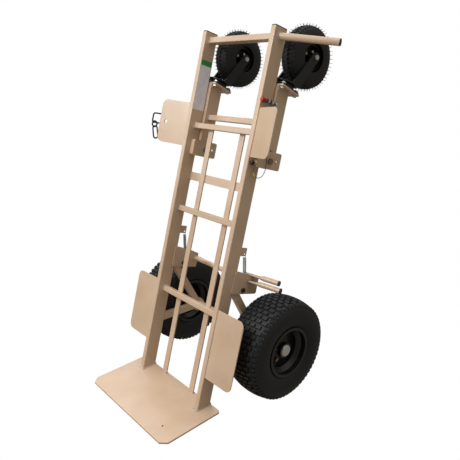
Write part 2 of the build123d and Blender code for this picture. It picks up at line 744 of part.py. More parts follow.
def bolt_through(x, point, diameter):
    """A hexagon bolt along X, with its head and nut outside the given faces."""
    across = BOLT_HEAD_RATIO * diameter
    shank = rod((x[0] - BOLT_HEAD_TALL, x[1]), point, diameter)
    head = hexagon((x[1], x[1] + BOLT_HEAD_TALL), point, across)
    nut = hexagon((x[0] - BOLT_HEAD_TALL, x[0]), point, across)
    return shank + head + nut


def arm_pivot_bolt():
    faces = (BRACKET_INNER - BRACKET_THICKNESS, BRACKET_OUTER + BRACKET_THICKNESS)
    return LEANED * bolt_through(faces, pivot_point(), PIVOT_BOLT_DIAMETER)


def arm_outline(inset):
    """The arm's side view about its pivot: a round foot, straight sides and a sloping top."""
    half = ARM_DEPTH / 2 - inset
    top = ARM_TOP_HEIGHT - ARM_PIVOT_HEIGHT - inset
    slope = math.tan(math.radians(STEM_TILT))
    sides = Curve() + [
        ThreePointArc((-half, 0), (0, -half), (half, 0)),
        Line((half, 0), (half, top - half * slope)),
        Line((half, top - half * slope), (-half, top + half * slope)),
        Line((-half, top + half * slope), (-half, 0)),
    ]
    return Pos(*pivot_point()) * make_face(sides)


def arm():
    """A box-section arm with a sleeve for its pivot bolt and a hole for a lock pin."""
    shell = sheet((ARM_INNER, ARM_OUTER), arm_outline(0))
    shell -= sheet((ARM_INNER + ARM_WALL, ARM_OUTER - ARM_WALL), arm_outline(ARM_WALL))
    sleeve = PIVOT_BOLT_DIAMETER + 2 * PIVOT_SLEEVE_WALL
    shell += rod((ARM_INNER, ARM_OUTER), pivot_point(), sleeve)
    shell -= rod((ARM_INNER, ARM_OUTER), pivot_point(), PIVOT_BOLT_DIAMETER + 2 * SHAFT_FIT)
    lock = (ARM_PIVOT_BACK, ARM_PIVOT_HEIGHT + ARM_HOLE_UP)
    shell -= rod((ARM_OUTER - 2 * ARM_WALL, ARM_OUTER), lock, ARM_HOLE_DIAMETER)
    return LEANED * shell


def arm_crossbar():
    section = tube_section(RUNG_SIZE, RUNG_SIZE, RUNG_CORNER, RUNG_WALL)
    place = Pos(ARM_FRONT + ARM_BAR_SETBACK + RUNG_SIZE / 2, ARM_BAR_HEIGHT)
    return LEANED * sheet((-ARM_INNER, ARM_INNER), place * section)


# Swivelling wheels, drawn about their stem: z up the stem from the mount plate's top, y to the back

def stem(side):
    """Where a stem stands on its arm, tipped back with the arm's sloping top."""
    drop = (STEM_BACK - ARM_PIVOT_BACK) * math.tan(math.radians(STEM_TILT))
    foot = LEANED * Pos(side * ARM_CENTRE, STEM_BACK, ARM_TOP_HEIGHT - drop)
    return foot * Rot(X=-STEM_TILT) * Pos(0, 0, MOUNT_THICKNESS)


def bolt_places():
    half_x = CASTER_BOLT_SPACING_X / 2
    half_y = CASTER_BOLT_SPACING_Y / 2
    return [Pos(x, y) for x in (-half_x, half_x) for y in (-half_y, half_y)]


def drilled(outline, thickness):
    """A plate with the four holes of the wheel's bolts."""
    for place in bolt_places():
        outline -= place * Circle(CASTER_BOLT_DIAMETER / 2 + SHAFT_FIT)
    return extrude(outline, thickness)


def caster_mount():
    outline = RectangleRounded(MOUNT_WIDTH, MOUNT_LENGTH, MOUNT_CORNER)
    return Pos(0, 0, -MOUNT_THICKNESS) * drilled(outline, MOUNT_THICKNESS)


def caster_plate():
    outline = RectangleRounded(CASTER_PLATE_WIDTH, CASTER_PLATE_LENGTH, CASTER_PLATE_CORNER)
    outline -= Circle(KINGPIN_DIAMETER / 2 + SHAFT_FIT)
    return drilled(outline, CASTER_PLATE_THICKNESS)


def caster_bolts():
    upright_bolt = Rot(Y=-90) * bolt_through(
        (-MOUNT_THICKNESS, CASTER_PLATE_THICKNESS), (0, 0), CASTER_BOLT_DIAMETER
    )
    return [place * upright_bolt for place in bolt_places()]


def caster_fork():
    """A swivel head on its kingpin, with a crown and two legs down to the wheel's axle."""
    head_start = CASTER_PLATE_THICKNESS + SEAT_FIT
    crown_start = head_start + RACEWAY_TALL
    inner = CASTER_WIDTH / 2 + CASTER_FORK_ROOM
    outer = inner + FORK_SHEET
    low = (Align.CENTER, Align.CENTER, Align.MIN)
    kingpin = Pos(0, 0, SEAT_FIT) * Cylinder(KINGPIN_DIAMETER / 2, crown_start, align=low)
    raceway = Cylinder(RACEWAY_DIAMETER / 2, RACEWAY_TALL, align=low)
    raceway = Pos(0, 0, head_start) * chamfer(raceway.edges(), RACEWAY_TALL / 5)
    crown = Pos(0, 0, crown_start) * Cylinder(FORK_CROWN_DIAMETER / 2, FORK_SHEET, align=low)
    crown &= block((-outer, outer), (-outer, FORK_LEG_REAR), (crown_start, crown_start + FORK_SHEET))
    axle = (CASTER_TRAIL, CASTER_RISE)
    root = window((-FORK_LEG_FRONT, FORK_LEG_REAR), (crown_start, crown_start + FORK_SHEET))
    leg = make_hull(root.edges() + disc(axle, FORK_EYE_DIAMETER).edges())
    leg -= disc(axle, CASTER_AXLE_DIAMETER + 2 * SHAFT_FIT)
    fork = kingpin + raceway + crown
    for x in ((inner, outer), (-outer, -inner)):
        fork += sheet(x, leg)
    return fork


def caster_axle():
    reach = CASTER_WIDTH / 2 + CASTER_FORK_ROOM + FORK_SHEET + SEAT_FIT
    return bolt_through((-reach, reach), (CASTER_TRAIL, CASTER_RISE), CASTER_AXLE_DIAMETER)


def caster_tyre():
    bead = (
        CASTER_RIM_WIDTH / 2 - CASTER_RIM_SHEET - SEAT_FIT,
        CASTER_SEAT_DIAMETER / 2 + SEAT_FIT,
    )
    neck = CASTER_FLANGE_DIAMETER / 2 + SEAT_FIT
    half_tread = CASTER_TREAD_WIDTH / 2
    bulge = CASTER_WIDTH / 2 - half_tread
    radius = CASTER_DIAMETER / 2
    section = tyre_section(
        radius, half_tread, CASTER_TREAD_DROP, bulge, bead, neck, CASTER_TYRE_WALL
    )
    return Pos(0, CASTER_TRAIL, CASTER_RISE) * revolved(section)


def caster_rim():
    half = CASTER_RIM_WIDTH / 2
    flange = CASTER_FLANGE_DIAMETER / 2
    seat = CASTER_SEAT_DIAMETER / 2
    under = seat - CASTER_RIM_SHEET
    hub = CASTER_HUB_DIAMETER / 2
    reach = CASTER_WIDTH / 2 + CASTER_FORK_ROOM - SEAT_FIT
    bore = CASTER_AXLE_DIAMETER / 2 + SHAFT_FIT
    web = CASTER_RIM_SHEET / 2
    section = Polygon(
        (-half, flange),
        (-half + CASTER_RIM_SHEET, flange),
        (-half + CASTER_RIM_SHEET, seat),
        (half - CASTER_RIM_SHEET, seat),
        (half - CASTER_RIM_SHEET, flange),
        (half, flange),
        (half, under),
        (web, under),
        (web, hub),
        (reach, hub),
        (reach, bore),
        (-reach, bore),
        (-reach, hub),
        (-web, hub),
        (-web, under),
        (-half, under),
        align=None,
    )
    return Pos(0, CASTER_TRAIL, CASTER_RISE) * revolved(section)


# Foot lever

def lever_pivot():
    return (LEVER_PIVOT_BACK, LEVER_PIVOT_HEIGHT)


def spring_pin_point():
    return (SPRING_PIN_BACK, SPRING_PIN_HEIGHT)


def lever_outline():
    outline = Polygon(
        (LEVER_FRONT, LEVER_BOTTOM),
        (LEVER_REAR, LEVER_BOTTOM),
        (LEVER_REAR, LEVER_TOP_REAR),
        (LEVER_FRONT, LEVER_TOP_FRONT),
        align=None,
    )
    outline = fillet(outline.vertices(), LEVER_CORNER)
    outline -= disc(lever_pivot(), LEVER_BOLT_DIAMETER + 2 * SHAFT_FIT)
    return outline - disc(spring_pin_point(), SPRING_PIN_DIAMETER + 2 * SHAFT_FIT)


def toe_bar_line(x, back, height):
    """A toe bar's own line: it leaves the plates to the right and sweeps back."""
    return Pos(x, back, height) * Rot(Z=TOE_BAR_SWEEP) * Rot(Y=90)


def upper_toe_line():
    return toe_bar_line(LEVER_INNER - LEVER_PLATE, UPPER_TOE_BAR_BACK, UPPER_TOE_BAR_HEIGHT)


def lower_toe_line():
    return toe_bar_line(LEVER_OUTER + LEVER_PLATE, LOWER_TOE_BAR_BACK, LOWER_TOE_BAR_HEIGHT)


def toe_bars():
    """Two tubes, one above the other, that make a pedal over the right tyre."""
    overlap = TOE_BAR_DIAMETER * math.tan(math.radians(TOE_BAR_SWEEP))
    upper = round_tube(UPPER_TOE_BAR_LENGTH + overlap, TOE_BAR_DIAMETER, TOE_BAR_WALL)
    lower = round_tube(LOWER_TOE_BAR_LENGTH + overlap, TOE_BAR_DIAMETER, TOE_BAR_WALL)
    upper = upper_toe_line() * Pos(0, 0, -overlap) * upper
    lower = lower_toe_line() * Pos(0, 0, -overlap) * lower
    upper = split(upper, bisect_by=Plane.YZ.offset(LEVER_INNER - LEVER_PLATE), keep=Keep.TOP)
    lower = split(lower, bisect_by=Plane.YZ.offset(LEVER_OUTER + LEVER_PLATE), keep=Keep.TOP)
    return [LEANED * upper, LEANED * lower]


def toe_plug():
    low = (Align.CENTER, Align.CENTER, Align.MIN)
    head = Cylinder(TOE_BAR_DIAMETER / 2, TOE_PLUG_HEAD, align=low)
    head = fillet(head.edges().sort_by(Axis.Z)[-1], TOE_PLUG_HEAD / 2)
    stem_radius = TOE_BAR_DIAMETER / 2 - TOE_BAR_WALL - SEAT_FIT
    return head + Pos(0, 0, -TOE_PLUG_STEM) * Cylinder(stem_radius, TOE_PLUG_STEM, align=low)


def toe_plugs():
    upper = upper_toe_line() * Pos(0, 0, UPPER_TOE_BAR_LENGTH) * toe_plug()
    lower = lower_toe_line() * Pos(0, 0, LOWER_TOE_BAR_LENGTH) * toe_plug()
    return [LEANED * upper, LEANED * lower]


def lever_plates():
    """Two plates astride each rail, notched at the top for the upper toe bar on the right."""
    tube_point = (LEVER_TUBE_BACK, LEVER_TUBE_HEIGHT)
    inner_outline = lever_outline() - disc(tube_point, LEVER_TUBE_DIAMETER + 2 * SHAFT_FIT)
    outer = sheet((LEVER_OUTER, LEVER_OUTER + LEVER_PLATE), lever_outline())
    inner = sheet((LEVER_INNER - LEVER_PLATE, LEVER_INNER), inner_outline)
    notch = upper_toe_line() * Cylinder(TOE_BAR_DIAMETER / 2 + SHAFT_FIT, 2 * UPPER_TOE_BAR_LENGTH)
    right = [outer - notch, inner - notch]
    return [LEANED * plate for plate in right + [mirrored(outer), mirrored(inner)]]


def lever_cross_tube():
    point = (LEVER_TUBE_BACK, LEVER_TUBE_HEIGHT)
    reach = (-LEVER_OUTER, LEVER_OUTER)
    inside = LEVER_TUBE_DIAMETER - 2 * LEVER_TUBE_WALL
    return LEANED * (rod(reach, point, LEVER_TUBE_DIAMETER) - rod(reach, point, inside))


def lever_lug():
    """The lug in the corner of rail and strut that carries the lever's pivot bolt."""
    pivot = lever_pivot()
    web = window((RAIL_DEPTH, pivot[0]), (pivot[1] - LUG_RADIUS, pivot[1] + LUG_RADIUS))
    outline = web + disc(pivot, 2 * LUG_RADIUS) - strut_outline()
    outline -= disc(pivot, LEVER_BOLT_DIAMETER + 2 * SHAFT_FIT)
    return LEANED * sheet((RAIL_INNER, RAIL_OUTER), outline)


def lever_pivot_bolt():
    faces = (LEVER_INNER - LEVER_PLATE - SEAT_FIT, LEVER_OUTER + LEVER_PLATE + SEAT_FIT)
    return LEANED * bolt_through(faces, lever_pivot(), LEVER_BOLT_DIAMETER)


def spring_pin():
    faces = (LEVER_INNER - LEVER_PLATE, LEVER_OUTER + LEVER_PLATE)
    return LEANED * rod(faces, spring_pin_point(), SPRING_PIN_DIAMETER)


def spring_hole_point():
    return (RAIL_DEPTH + SPRING_HOLE_BACK, SPRING_TAB_BOTTOM + SPRING_HOLE_UP)


def spring_tab():
    """A small ear on the rail's rear face that holds the spring's upper hook."""
    half = SPRING_TAB_THICKNESS / 2
    deep = (RAIL_DEPTH, RAIL_DEPTH + SPRING_TAB_REACH)
    tall = (SPRING_TAB_BOTTOM, SPRING_TAB_BOTTOM + SPRING_TAB_TALL)
    ear = block((RAIL_CENTRE - half, RAIL_CENTRE + half), deep, tall)
    ear = fillet(ear.edges().filter_by(Axis.X).group_by(Axis.Y)[-1], SPRING_HOLE_UP / 2)
    span = (RAIL_CENTRE - half, RAIL_CENTRE + half)
    return LEANED * (ear - rod(span, spring_hole_point(), SPRING_HOLE_DIAMETER))


def biarc(start, start_way, end, end_way):
    """Two tangent arcs between two points with given directions."""
    run = end - start
    ways = start_way + end_way
    a = 2 * (1 - start_way.dot(end_way))
    b = 2 * run.dot(ways)
    reach = (-b + math.sqrt(b * b + 4 * a * run.dot(run))) / (2 * a)
    first = start + start_way * reach
    second = end - end_way * reach
    middle = (first + second) * 0.5
    return [
        TangentArc(start, middle, tangent=start_way),
        TangentArc(middle, end, tangent=(second - first).normalized()),
    ]


def spring_edges(length):
    """The spring's centre line along Z, from its lower pin at the origin to its upper hole.

    The lower hook goes round the pin, which runs along X. The upper hook goes through the hole,
    whose axis is also X, so it lies across the lower one. The coil starts a quarter turn after the
    lower hook and ends a quarter turn before the upper one.
    """
    coil = (SPRING_DIAMETER - SPRING_WIRE) / 2
    hook = SPRING_HOOK_RADIUS
    quarters = 4 * SPRING_TURNS - 1
    base = (length - quarters * SPRING_PITCH / 4) / 2
    climb = math.atan2(SPRING_PITCH, 2 * math.pi * coil)
    low = hook - SPRING_WIRE / 2 - SPRING_PIN_DIAMETER / 2 - SEAT_FIT
    high = length - hook - SPRING_HOLE_DIAMETER / 4

    def on_coil(quarter):
        angle = math.pi + quarter * math.pi / 2
        height = base + quarter * SPRING_PITCH / 4
        return Vector(coil * math.cos(angle), coil * math.sin(angle), height)

    def coil_way(quarter):
        angle = math.pi + quarter * math.pi / 2
        flat = math.cos(climb)
        return Vector(-flat * math.sin(angle), flat * math.cos(angle), math.sin(climb))

    def lower_hook(degrees):
        angle = math.radians(degrees)
        return Vector(0, hook * math.cos(angle), low + hook * math.sin(angle))

    def upper_hook(degrees):
        angle = math.radians(degrees)
        return Vector(hook * math.cos(angle), 0, high + hook * math.sin(angle))

    up = Vector(0, 0, 1)
    edges = [
        ThreePointArc(lower_hook(150), lower_hook(210), lower_hook(270)),
        ThreePointArc(lower_hook(270), lower_hook(315), lower_hook(360)),
    ]
    edges += biarc(lower_hook(360), up, on_coil(0), coil_way(0))
    for quarter in range(quarters):
        after = quarter + 1
        edges += biarc(on_coil(quarter), coil_way(quarter), on_coil(after), coil_way(after))
    edges += biarc(on_coil(quarters), coil_way(quarters), upper_hook(180), up)
    edges.append(ThreePointArc(upper_hook(180), upper_hook(90), upper_hook(0)))
    edges.append(ThreePointArc(upper_hook(0), upper_hook(-45), upper_hook(-90)))
    return edges


def least_gap(edges, wire):
    """The smallest clear distance between stretches of a wire that aren't neighbours."""
    step = wire / 2
    points = []
    travelled = []
    distance = 0.0
    for edge in edges:
        count = max(2, math.ceil(edge.length / step))
        for index in range(count):
            points.append(edge @ (index / count))
            travelled.append(distance + edge.length * index / count)
        distance += edge.length
    apart = 3 * wire
    return min(
        (points[i] - points[j]).length - wire
        for i in range(len(points))
        for j in range(i)
        if travelled[i] - travelled[j] > apart
    )


def return_spring():
    """An extension spring from the lever's pin to the tab above it, as one swept wire."""
    pin = spring_pin_point()
    hole = spring_hole_point()
    run = Vector(0, hole[0] - pin[0], hole[1] - pin[1])
    edges = spring_edges(run.length)
    print("return spring: least gap", round(least_gap(edges, SPRING_WIRE), 2))
    start = Plane(edges[0] @ 0, z_dir=edges[0] % 0)
    wire = sweep(start * Circle(SPRING_WIRE / 2), path=Wire(edges))
    along = Plane((RAIL_CENTRE, pin[0], pin[1]), x_dir=(1, 0, 0), z_dir=run).location
    return LEANED * along * wire


# Latches

def latch_rod(y, height, diameter):
    """A round bar along Y beside the right rail."""
    centre = Pos(LATCH_X, sum(y) / 2, height)
    return centre * Rot(X=90) * Cylinder(diameter / 2, y[1] - y[0])


def stow_latch_housing():
    """A barrel on a small base, welded to the side of the right rail."""
    span = (STOW_HOUSING_FRONT, STOW_HOUSING_FRONT + STOW_HOUSING_LENGTH)
    half = STOW_BASE_TALL / 2
    tall = (STOW_LATCH_HEIGHT - half, STOW_LATCH_HEIGHT + half)
    base = block((RAIL_OUTER, RAIL_OUTER + STOW_BASE_THICKNESS), span, tall)
    barrel = latch_rod(span, STOW_LATCH_HEIGHT, LATCH_BARREL_DIAMETER)
    return LEANED * (base + barrel - latch_rod(span, STOW_LATCH_HEIGHT, LATCH_BORE))


def plunger(knob_rear, knob_length, knob_diameter, height):
    """A latch pin with its knob, parked just short of the arm."""
    knob = latch_rod((knob_rear - knob_length, knob_rear), height, knob_diameter)
    knob = fillet(knob.edges().group_by(Axis.Y)[0], knob_diameter / 5)
    return LEANED * (knob + latch_rod((knob_rear, LATCH_TIP), height, LATCH_PIN_DIAMETER))


def stow_plunger():
    rear = STOW_HOUSING_FRONT - SEAT_FIT
    return plunger(rear, STOW_KNOB_LENGTH, STOW_KNOB_DIAMETER, STOW_LATCH_HEIGHT)


def deploy_latch_housing():
    """A collar in front of the right bracket's outer pad."""
    span = (BRACKET_FRONT - DEPLOY_COLLAR_LENGTH, BRACKET_FRONT)
    collar = latch_rod(span, DEPLOY_LATCH_HEIGHT, LATCH_BARREL_DIAMETER)
    return LEANED * (collar - latch_rod(span, DEPLOY_LATCH_HEIGHT, LATCH_BORE))


def deploy_plunger():
    rear = BRACKET_FRONT - DEPLOY_COLLAR_LENGTH - SEAT_FIT
    return plunger(rear, DEPLOY_KNOB_LENGTH, DEPLOY_KNOB_DIAMETER, DEPLOY_LATCH_HEIGHT)


def lanyard():
    """The thin cable that ties the two latches, hanging in a loop below the bracket."""
    points = [Vector(*point) for point in LANYARD_ROUTE]
    radii = []
    for before, corner, after in zip(points, points[1:], points[2:]):
        turn = math.radians((corner - before).get_angle(after - corner))
        shorter = min((corner - before).length, (after - corner).length)
        radii.append(0.45 * shorter / math.tan(turn / 2))
    path = FilletPolyline(*points, radius=radii)
    print("lanyard: length", round(path.length), "radii", [round(radius) for radius in radii])
    start = Plane(points[0], z_dir=points[1] - points[0])
    return LEANED * sweep(start * Circle(LANYARD_DIAMETER / 2), path=path)


def both(piece):
    """A piece on the right and its mirror image on the left, in one node."""
    return group([piece, mirrored(piece)])


def at_stems(piece):
    """A piece of both swivelling wheels, in one node."""
    return group([stem(side) * piece for side in (-1, 1)])


def sided(name, right):
    """A piece on each side as two nodes."""
    return {name + "_right": right, name + "_left": mirrored(right)}


def all_nodes():
    nodes = {
        "toe_plate": toe_plate(),
        "tube_plugs": group([rail_plug(), mirrored(rail_plug()), handle_plug()]),
        "top_crossbar": rung(TOP_BAR_HEIGHT, TOP_BAR_SETBACK, TOP_BAR_DEPTH),
        "rung_upper": rung(UPPER_RUNG_HEIGHT),
        "rung_middle": rung(MIDDLE_RUNG_HEIGHT),
        "rung_lower": rung(LOWER_RUNG_HEIGHT),
        "back_bars": both(back_bar()),
        "mid_crossbar": mid_crossbar(),
        "upper_wing_right": LEANED * upper_wing(),
        "upper_wing_left": left_upper_wing(),
        "side_handle": side_handle(),
        "strap_loop": strap_loop(),
        "snap_hook": snap_hook(),
        "axle_arms": both(axle_arm()),
        "axle_struts": both(axle_strut()),
        "axle_tube": axle_tube(),
        "axle_shaft": axle_shaft(),
        "axle_caps": both(axle_cap()),
        "arm_bracket_right": group(right_bracket()),
        "arm_bracket_left": group(left_bracket()),
        "arm_pivot_bolts": both(arm_pivot_bolt()),
        "arm_crossbar": arm_crossbar(),
        "caster_mounts": at_stems(caster_mount()),
        "caster_plates": at_stems(caster_plate()),
        "caster_bolts": at_stems(group(caster_bolts())),
        "lever_plates": group(lever_plates()),
        "lever_cross_tube": lever_cross_tube(),
        "toe_bars": group(toe_bars()),
        "toe_bar_plugs": group(toe_plugs()),
        "lever_lugs": both(lever_lug()),
        "lever_pivot_bolts": both(lever_pivot_bolt()),
        "spring_pins": both(spring_pin()),
        "spring_tabs": both(spring_tab()),
        "stow_latch_housing": stow_latch_housing(),
        "stow_plunger": stow_plunger(),
        "deploy_latch_housing": deploy_latch_housing(),
        "deploy_plunger": deploy_plunger(),
        "lanyard": lanyard(),
    }
    nodes |= sided("rail", rail())
    nodes |= sided("lower_wing", lower_wing())
    nodes |= sided("tyre", at_wheel(main_tyre()))
    nodes |= sided("rim", at_wheel(main_rim()))
    nodes |= sided("wheel_bearings", at_wheel(group(wheel_bearings())))
    nodes |= sided("arm", arm())
    nodes |= sided("caster_fork", stem(1) * caster_fork())
    nodes |= sided("caster_axle", stem(1) * caster_axle())
    nodes |= sided("caster_tyre", stem(1) * caster_tyre())
    nodes |= sided("caster_rim", stem(1) * caster_rim())
    nodes |= sided("return_spring", return_spring())
    return nodes


os.makedirs("parts", exist_ok=True)
for name, shape in all_nodes().items():
    export_step(shape, f"parts/{name}.step")
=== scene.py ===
# %% [markdown]
# A four-wheel hand truck. The steelwork comes as a finished assembly: every tube, plate, bolt and wheel
# already has its real size and place. This lesson gives it its looks: powder coat, rubber, zinc, weld
# beads, tread blocks, coiled springs and a hanging lanyard. Every body keeps its place; most pieces are
# only dressed, and a few are made anew where their shape is too plain.

# %% Load the assembly
import cmath
import json
import math
import random

import bmesh
import bpy
from mathutils import Matrix, Vector

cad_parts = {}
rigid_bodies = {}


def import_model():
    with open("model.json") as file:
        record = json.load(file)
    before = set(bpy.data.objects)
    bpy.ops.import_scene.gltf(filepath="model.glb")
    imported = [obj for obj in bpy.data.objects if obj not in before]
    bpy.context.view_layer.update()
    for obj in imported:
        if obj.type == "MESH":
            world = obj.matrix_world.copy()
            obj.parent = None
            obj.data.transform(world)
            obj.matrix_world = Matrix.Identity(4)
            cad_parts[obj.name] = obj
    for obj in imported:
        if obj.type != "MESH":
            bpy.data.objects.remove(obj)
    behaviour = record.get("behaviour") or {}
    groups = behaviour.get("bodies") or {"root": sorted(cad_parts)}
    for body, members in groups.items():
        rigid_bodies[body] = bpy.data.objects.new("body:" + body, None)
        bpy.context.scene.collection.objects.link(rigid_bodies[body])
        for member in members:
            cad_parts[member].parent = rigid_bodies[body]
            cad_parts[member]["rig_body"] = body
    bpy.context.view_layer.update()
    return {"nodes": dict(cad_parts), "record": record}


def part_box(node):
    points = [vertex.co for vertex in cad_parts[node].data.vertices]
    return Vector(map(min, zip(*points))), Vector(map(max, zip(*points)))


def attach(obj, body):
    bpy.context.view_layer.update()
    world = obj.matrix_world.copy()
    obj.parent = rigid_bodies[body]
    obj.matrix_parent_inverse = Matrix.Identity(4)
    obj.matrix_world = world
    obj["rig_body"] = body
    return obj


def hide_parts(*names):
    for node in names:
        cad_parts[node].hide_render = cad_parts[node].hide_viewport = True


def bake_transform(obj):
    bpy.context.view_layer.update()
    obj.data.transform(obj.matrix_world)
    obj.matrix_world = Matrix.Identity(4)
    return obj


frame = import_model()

MM = 0.001
nodes = frame["nodes"]

# %% [markdown]
# The camera stands in front of the truck's right side, a little above its handles, and looks down on
# the toe plate. A camera could be aimed with a constraint, but its place and axes were found by lining
# up the rails, the plate and the rim with the picture, so they are written out as three directions.

# %% Camera
CAMERA_PLACE = Vector((1.6812, -1.0296, 1.4211))
CAMERA_RIGHT = Vector((0.6585, 0.7519, -0.0326)).normalized()
CAMERA_UP = Vector((-0.2244, 0.2374, 0.9451)).normalized()
CAMERA_LENS = 39.7

camera_axes = Matrix((CAMERA_RIGHT, CAMERA_UP, CAMERA_RIGHT.cross(CAMERA_UP))).transposed()
camera_data = bpy.data.cameras.new("camera")
camera_data.lens = CAMERA_LENS
camera = bpy.data.objects.new("camera", camera_data)
camera.matrix_world = Matrix.Translation(CAMERA_PLACE) @ camera_axes.to_4x4()
bpy.context.collection.objects.link(camera)
bpy.context.scene.camera = camera
print("camera lens:", CAMERA_LENS, "mm")

# %% [markdown]
# The truck leans back on its wheels, but it is easier to think of it standing upright, with y measured
# back from the rails' front faces and z up the rails. One matrix turns upright places into leaned ones.
# The lean is read from the latch's pull, which is square to the rails.

# %% Upright frame
latch_pull = next(j for j in frame["record"]["behaviour"]["joints"] if j["name"] == "stow_latch_pull")
LEAN = math.atan2(latch_pull["axis"][2], -latch_pull["axis"][1])
PLATE_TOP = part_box("toe_plate")[1].z
LEANED = Matrix.Translation((0, 0, PLATE_TOP)) @ Matrix.Rotation(-LEAN, 4, "X")
UPRIGHT = LEANED.inverted()


def upright_box(node):
    """A node's lowest and highest corners with the truck stood upright."""
    places = [UPRIGHT @ vertex.co for vertex in nodes[node].data.vertices]
    low = Vector([min(place[i] for place in places) for i in range(3)])
    high = Vector([max(place[i] for place in places) for i in range(3)])
    return low, high


def upright(x, y, z):
    """A place given upright, in millimetres, as a leaned place in metres."""
    return LEANED @ (Vector((x, y, z)) * MM)


RAIL_LOW, RAIL_HIGH = upright_box("rail_right")
print("lean:", round(math.degrees(LEAN), 2), "rail:", [round(v / MM, 1) for v in (*RAIL_LOW, *RAIL_HIGH)])

# %% [markdown]
# A thin coated cable ties the two latches together, so that pulling one knob works both. It hangs in a
# loop down the side of the rail. A curve with a round bevel is the natural way to make a cable: a few
# listed points, and a NURBS spline rounds every bend between them. The curve is turned into a mesh
# at once, like every other piece.

# %% Lanyard
LANYARD_DIAMETER = 3 * MM
LANYARD_ROUTE = [
    (233.5, 50, 1302.5), (234, 50.5, 1286), (236, 53, 1257), (241, 58, 1217), (247, 62, 1171),
    (249.5, 67, 1126), (250.5, 75, 1086), (250, 81, 1053), (248.5, 77, 1026), (246, 63, 1009),
    (242.5, 45, 1007), (238, 32.5, 1018), (234.5, 27, 1034), (233.5, 26.5, 1049), (233.4, 26.5, 1055.4),
]


def wire(points, diameter, sides=3, steps=4):
    """A bmesh of round wire along a smooth spline with these places as its control points."""
    curve = bpy.data.curves.new("route", "CURVE")
    curve.dimensions = "3D"
    curve.bevel_depth = diameter / 2
    curve.bevel_resolution = sides
    curve.use_fill_caps = True
    spline = curve.splines.new("NURBS")
    spline.points.add(len(points) - 1)
    for point, place in zip(spline.points, points):
        point.co = (*place, 1)
    spline.order_u = 3
    spline.use_endpoint_u = True
    spline.resolution_u = steps
    holder = bpy.data.objects.new("route", curve)
    mesh = bpy.data.meshes.new_from_object(holder)
    form = bmesh.new()
    form.from_mesh(mesh)
    bpy.data.objects.remove(holder)
    bpy.data.curves.remove(curve)
    bpy.data.meshes.remove(mesh)
    return form


def add_piece(name, form, body, sharp=40):
    """Turns a bmesh into a smooth-shaded object that rides on a body, or on none."""
    mesh = bpy.data.meshes.new(name)
    form.to_mesh(mesh)
    form.free()
    mesh.shade_smooth()
    mesh.set_sharp_from_angle(angle=math.radians(sharp))
    piece = bpy.data.objects.new(name, mesh)
    bpy.context.collection.objects.link(piece)
    if body:
        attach(piece, body)
    return piece


lanyard_points = [upright(*place) for place in LANYARD_ROUTE]
lanyard_cable = add_piece("lanyard_cable", wire(lanyard_points, LANYARD_DIAMETER), "frame")
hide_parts("lanyard")
print("lanyard points:", len(lanyard_points))

# %% [markdown]
# The light is a plain product studio: softboxes at the left, high in front and behind, a broad sky above
# and a lit white table under the truck. A table that glows by itself takes no shadow, as in a catalogue
# picture. The faces that look forwards come out bright, and the right-hand sides fall into half shade with
# only the room's warm glow on them.

# %% Studio
FLOOR_SIZE = 60
WORLD_GLOW = (0.27, 0.240, 0.195, 1)
AIM = Vector((0, 0.3, 0.75))
SUN_STRENGTH = 1.7
SUN_SPREAD = math.radians(90)
SUN_TILT = math.radians(-12)


def softbox(name, place, size, watts):
    """A square area light that looks at the middle of the truck."""
    light = bpy.data.lights.new(name, "AREA")
    light.size = size
    light.energy = watts
    lamp = bpy.data.objects.new(name, light)
    aimed = (AIM - Vector(place)).to_track_quat("-Z", "Y").to_matrix().to_4x4()
    lamp.matrix_world = Matrix.Translation(place) @ aimed
    bpy.context.collection.objects.link(lamp)


softbox("key_softbox", (-2.5, -1.9, 2.3), 1.8, 18)
softbox("fill_softbox", (-0.45, -2.55, 3.2), 1.8, 98)
softbox("back_softbox", (-2.3, 1.4, 2.3), 2.0, 14)

sky = bpy.data.lights.new("top_light", "SUN")
sky.energy = SUN_STRENGTH
sky.angle = SUN_SPREAD
sky_lamp = bpy.data.objects.new("top_light", sky)
sky_lamp.matrix_world = Matrix.Rotation(SUN_TILT, 4, "X")
bpy.context.collection.objects.link(sky_lamp)

world = bpy.data.worlds.new("studio")
world.use_nodes = True
bpy.context.scene.world = world
background = world.node_tree.nodes["Background"]
light_path = world.node_tree.nodes.new("ShaderNodeLightPath")
glow = world.node_tree.nodes.new("ShaderNodeMix")
glow.data_type = "RGBA"
glow.inputs[6].default_value = WORLD_GLOW
glow.inputs[7].default_value = (1, 1, 1, 1)
world.node_tree.links.new(light_path.outputs["Is Camera Ray"], glow.inputs[0])
world.node_tree.links.new(glow.outputs[2], background.inputs["Color"])
bpy.context.scene.view_settings.view_transform = "Standard"

floor_mesh = bpy.data.meshes.new("floor")
floor_form = bmesh.new()
bmesh.ops.create_grid(floor_form, x_segments=1, y_segments=1, size=FLOOR_SIZE / 2)
floor_form.to_mesh(floor_mesh)
floor_form.free()
floor = bpy.data.objects.new("floor", floor_mesh)
bpy.context.collection.objects.link(floor)
floor.visible_diffuse = False
floor.visible_glossy = False
print("softboxes: 3, world glow:", WORLD_GLOW[:3])

# %% [markdown]
# Every finish below is a small tree of shader nodes. Two helpers keep the trees readable: one turns an
# sRGB hex colour into the linear numbers that Blender works in, and one adds a node with its settings
# and links. Patterns are sized in real millimetres, because Object coordinates here are metres.

# %% Helpers for finishes
def linear(hex_colour):
    """An sRGB hex colour as linear RGBA."""
    channels = [int(hex_colour[i:i + 2], 16) / 255 for i in (1, 3, 5)]
    return [c / 12.92 if c <= 0.04045 else ((c + 0.055) / 1.055) ** 2.4 for c in channels] + [1]


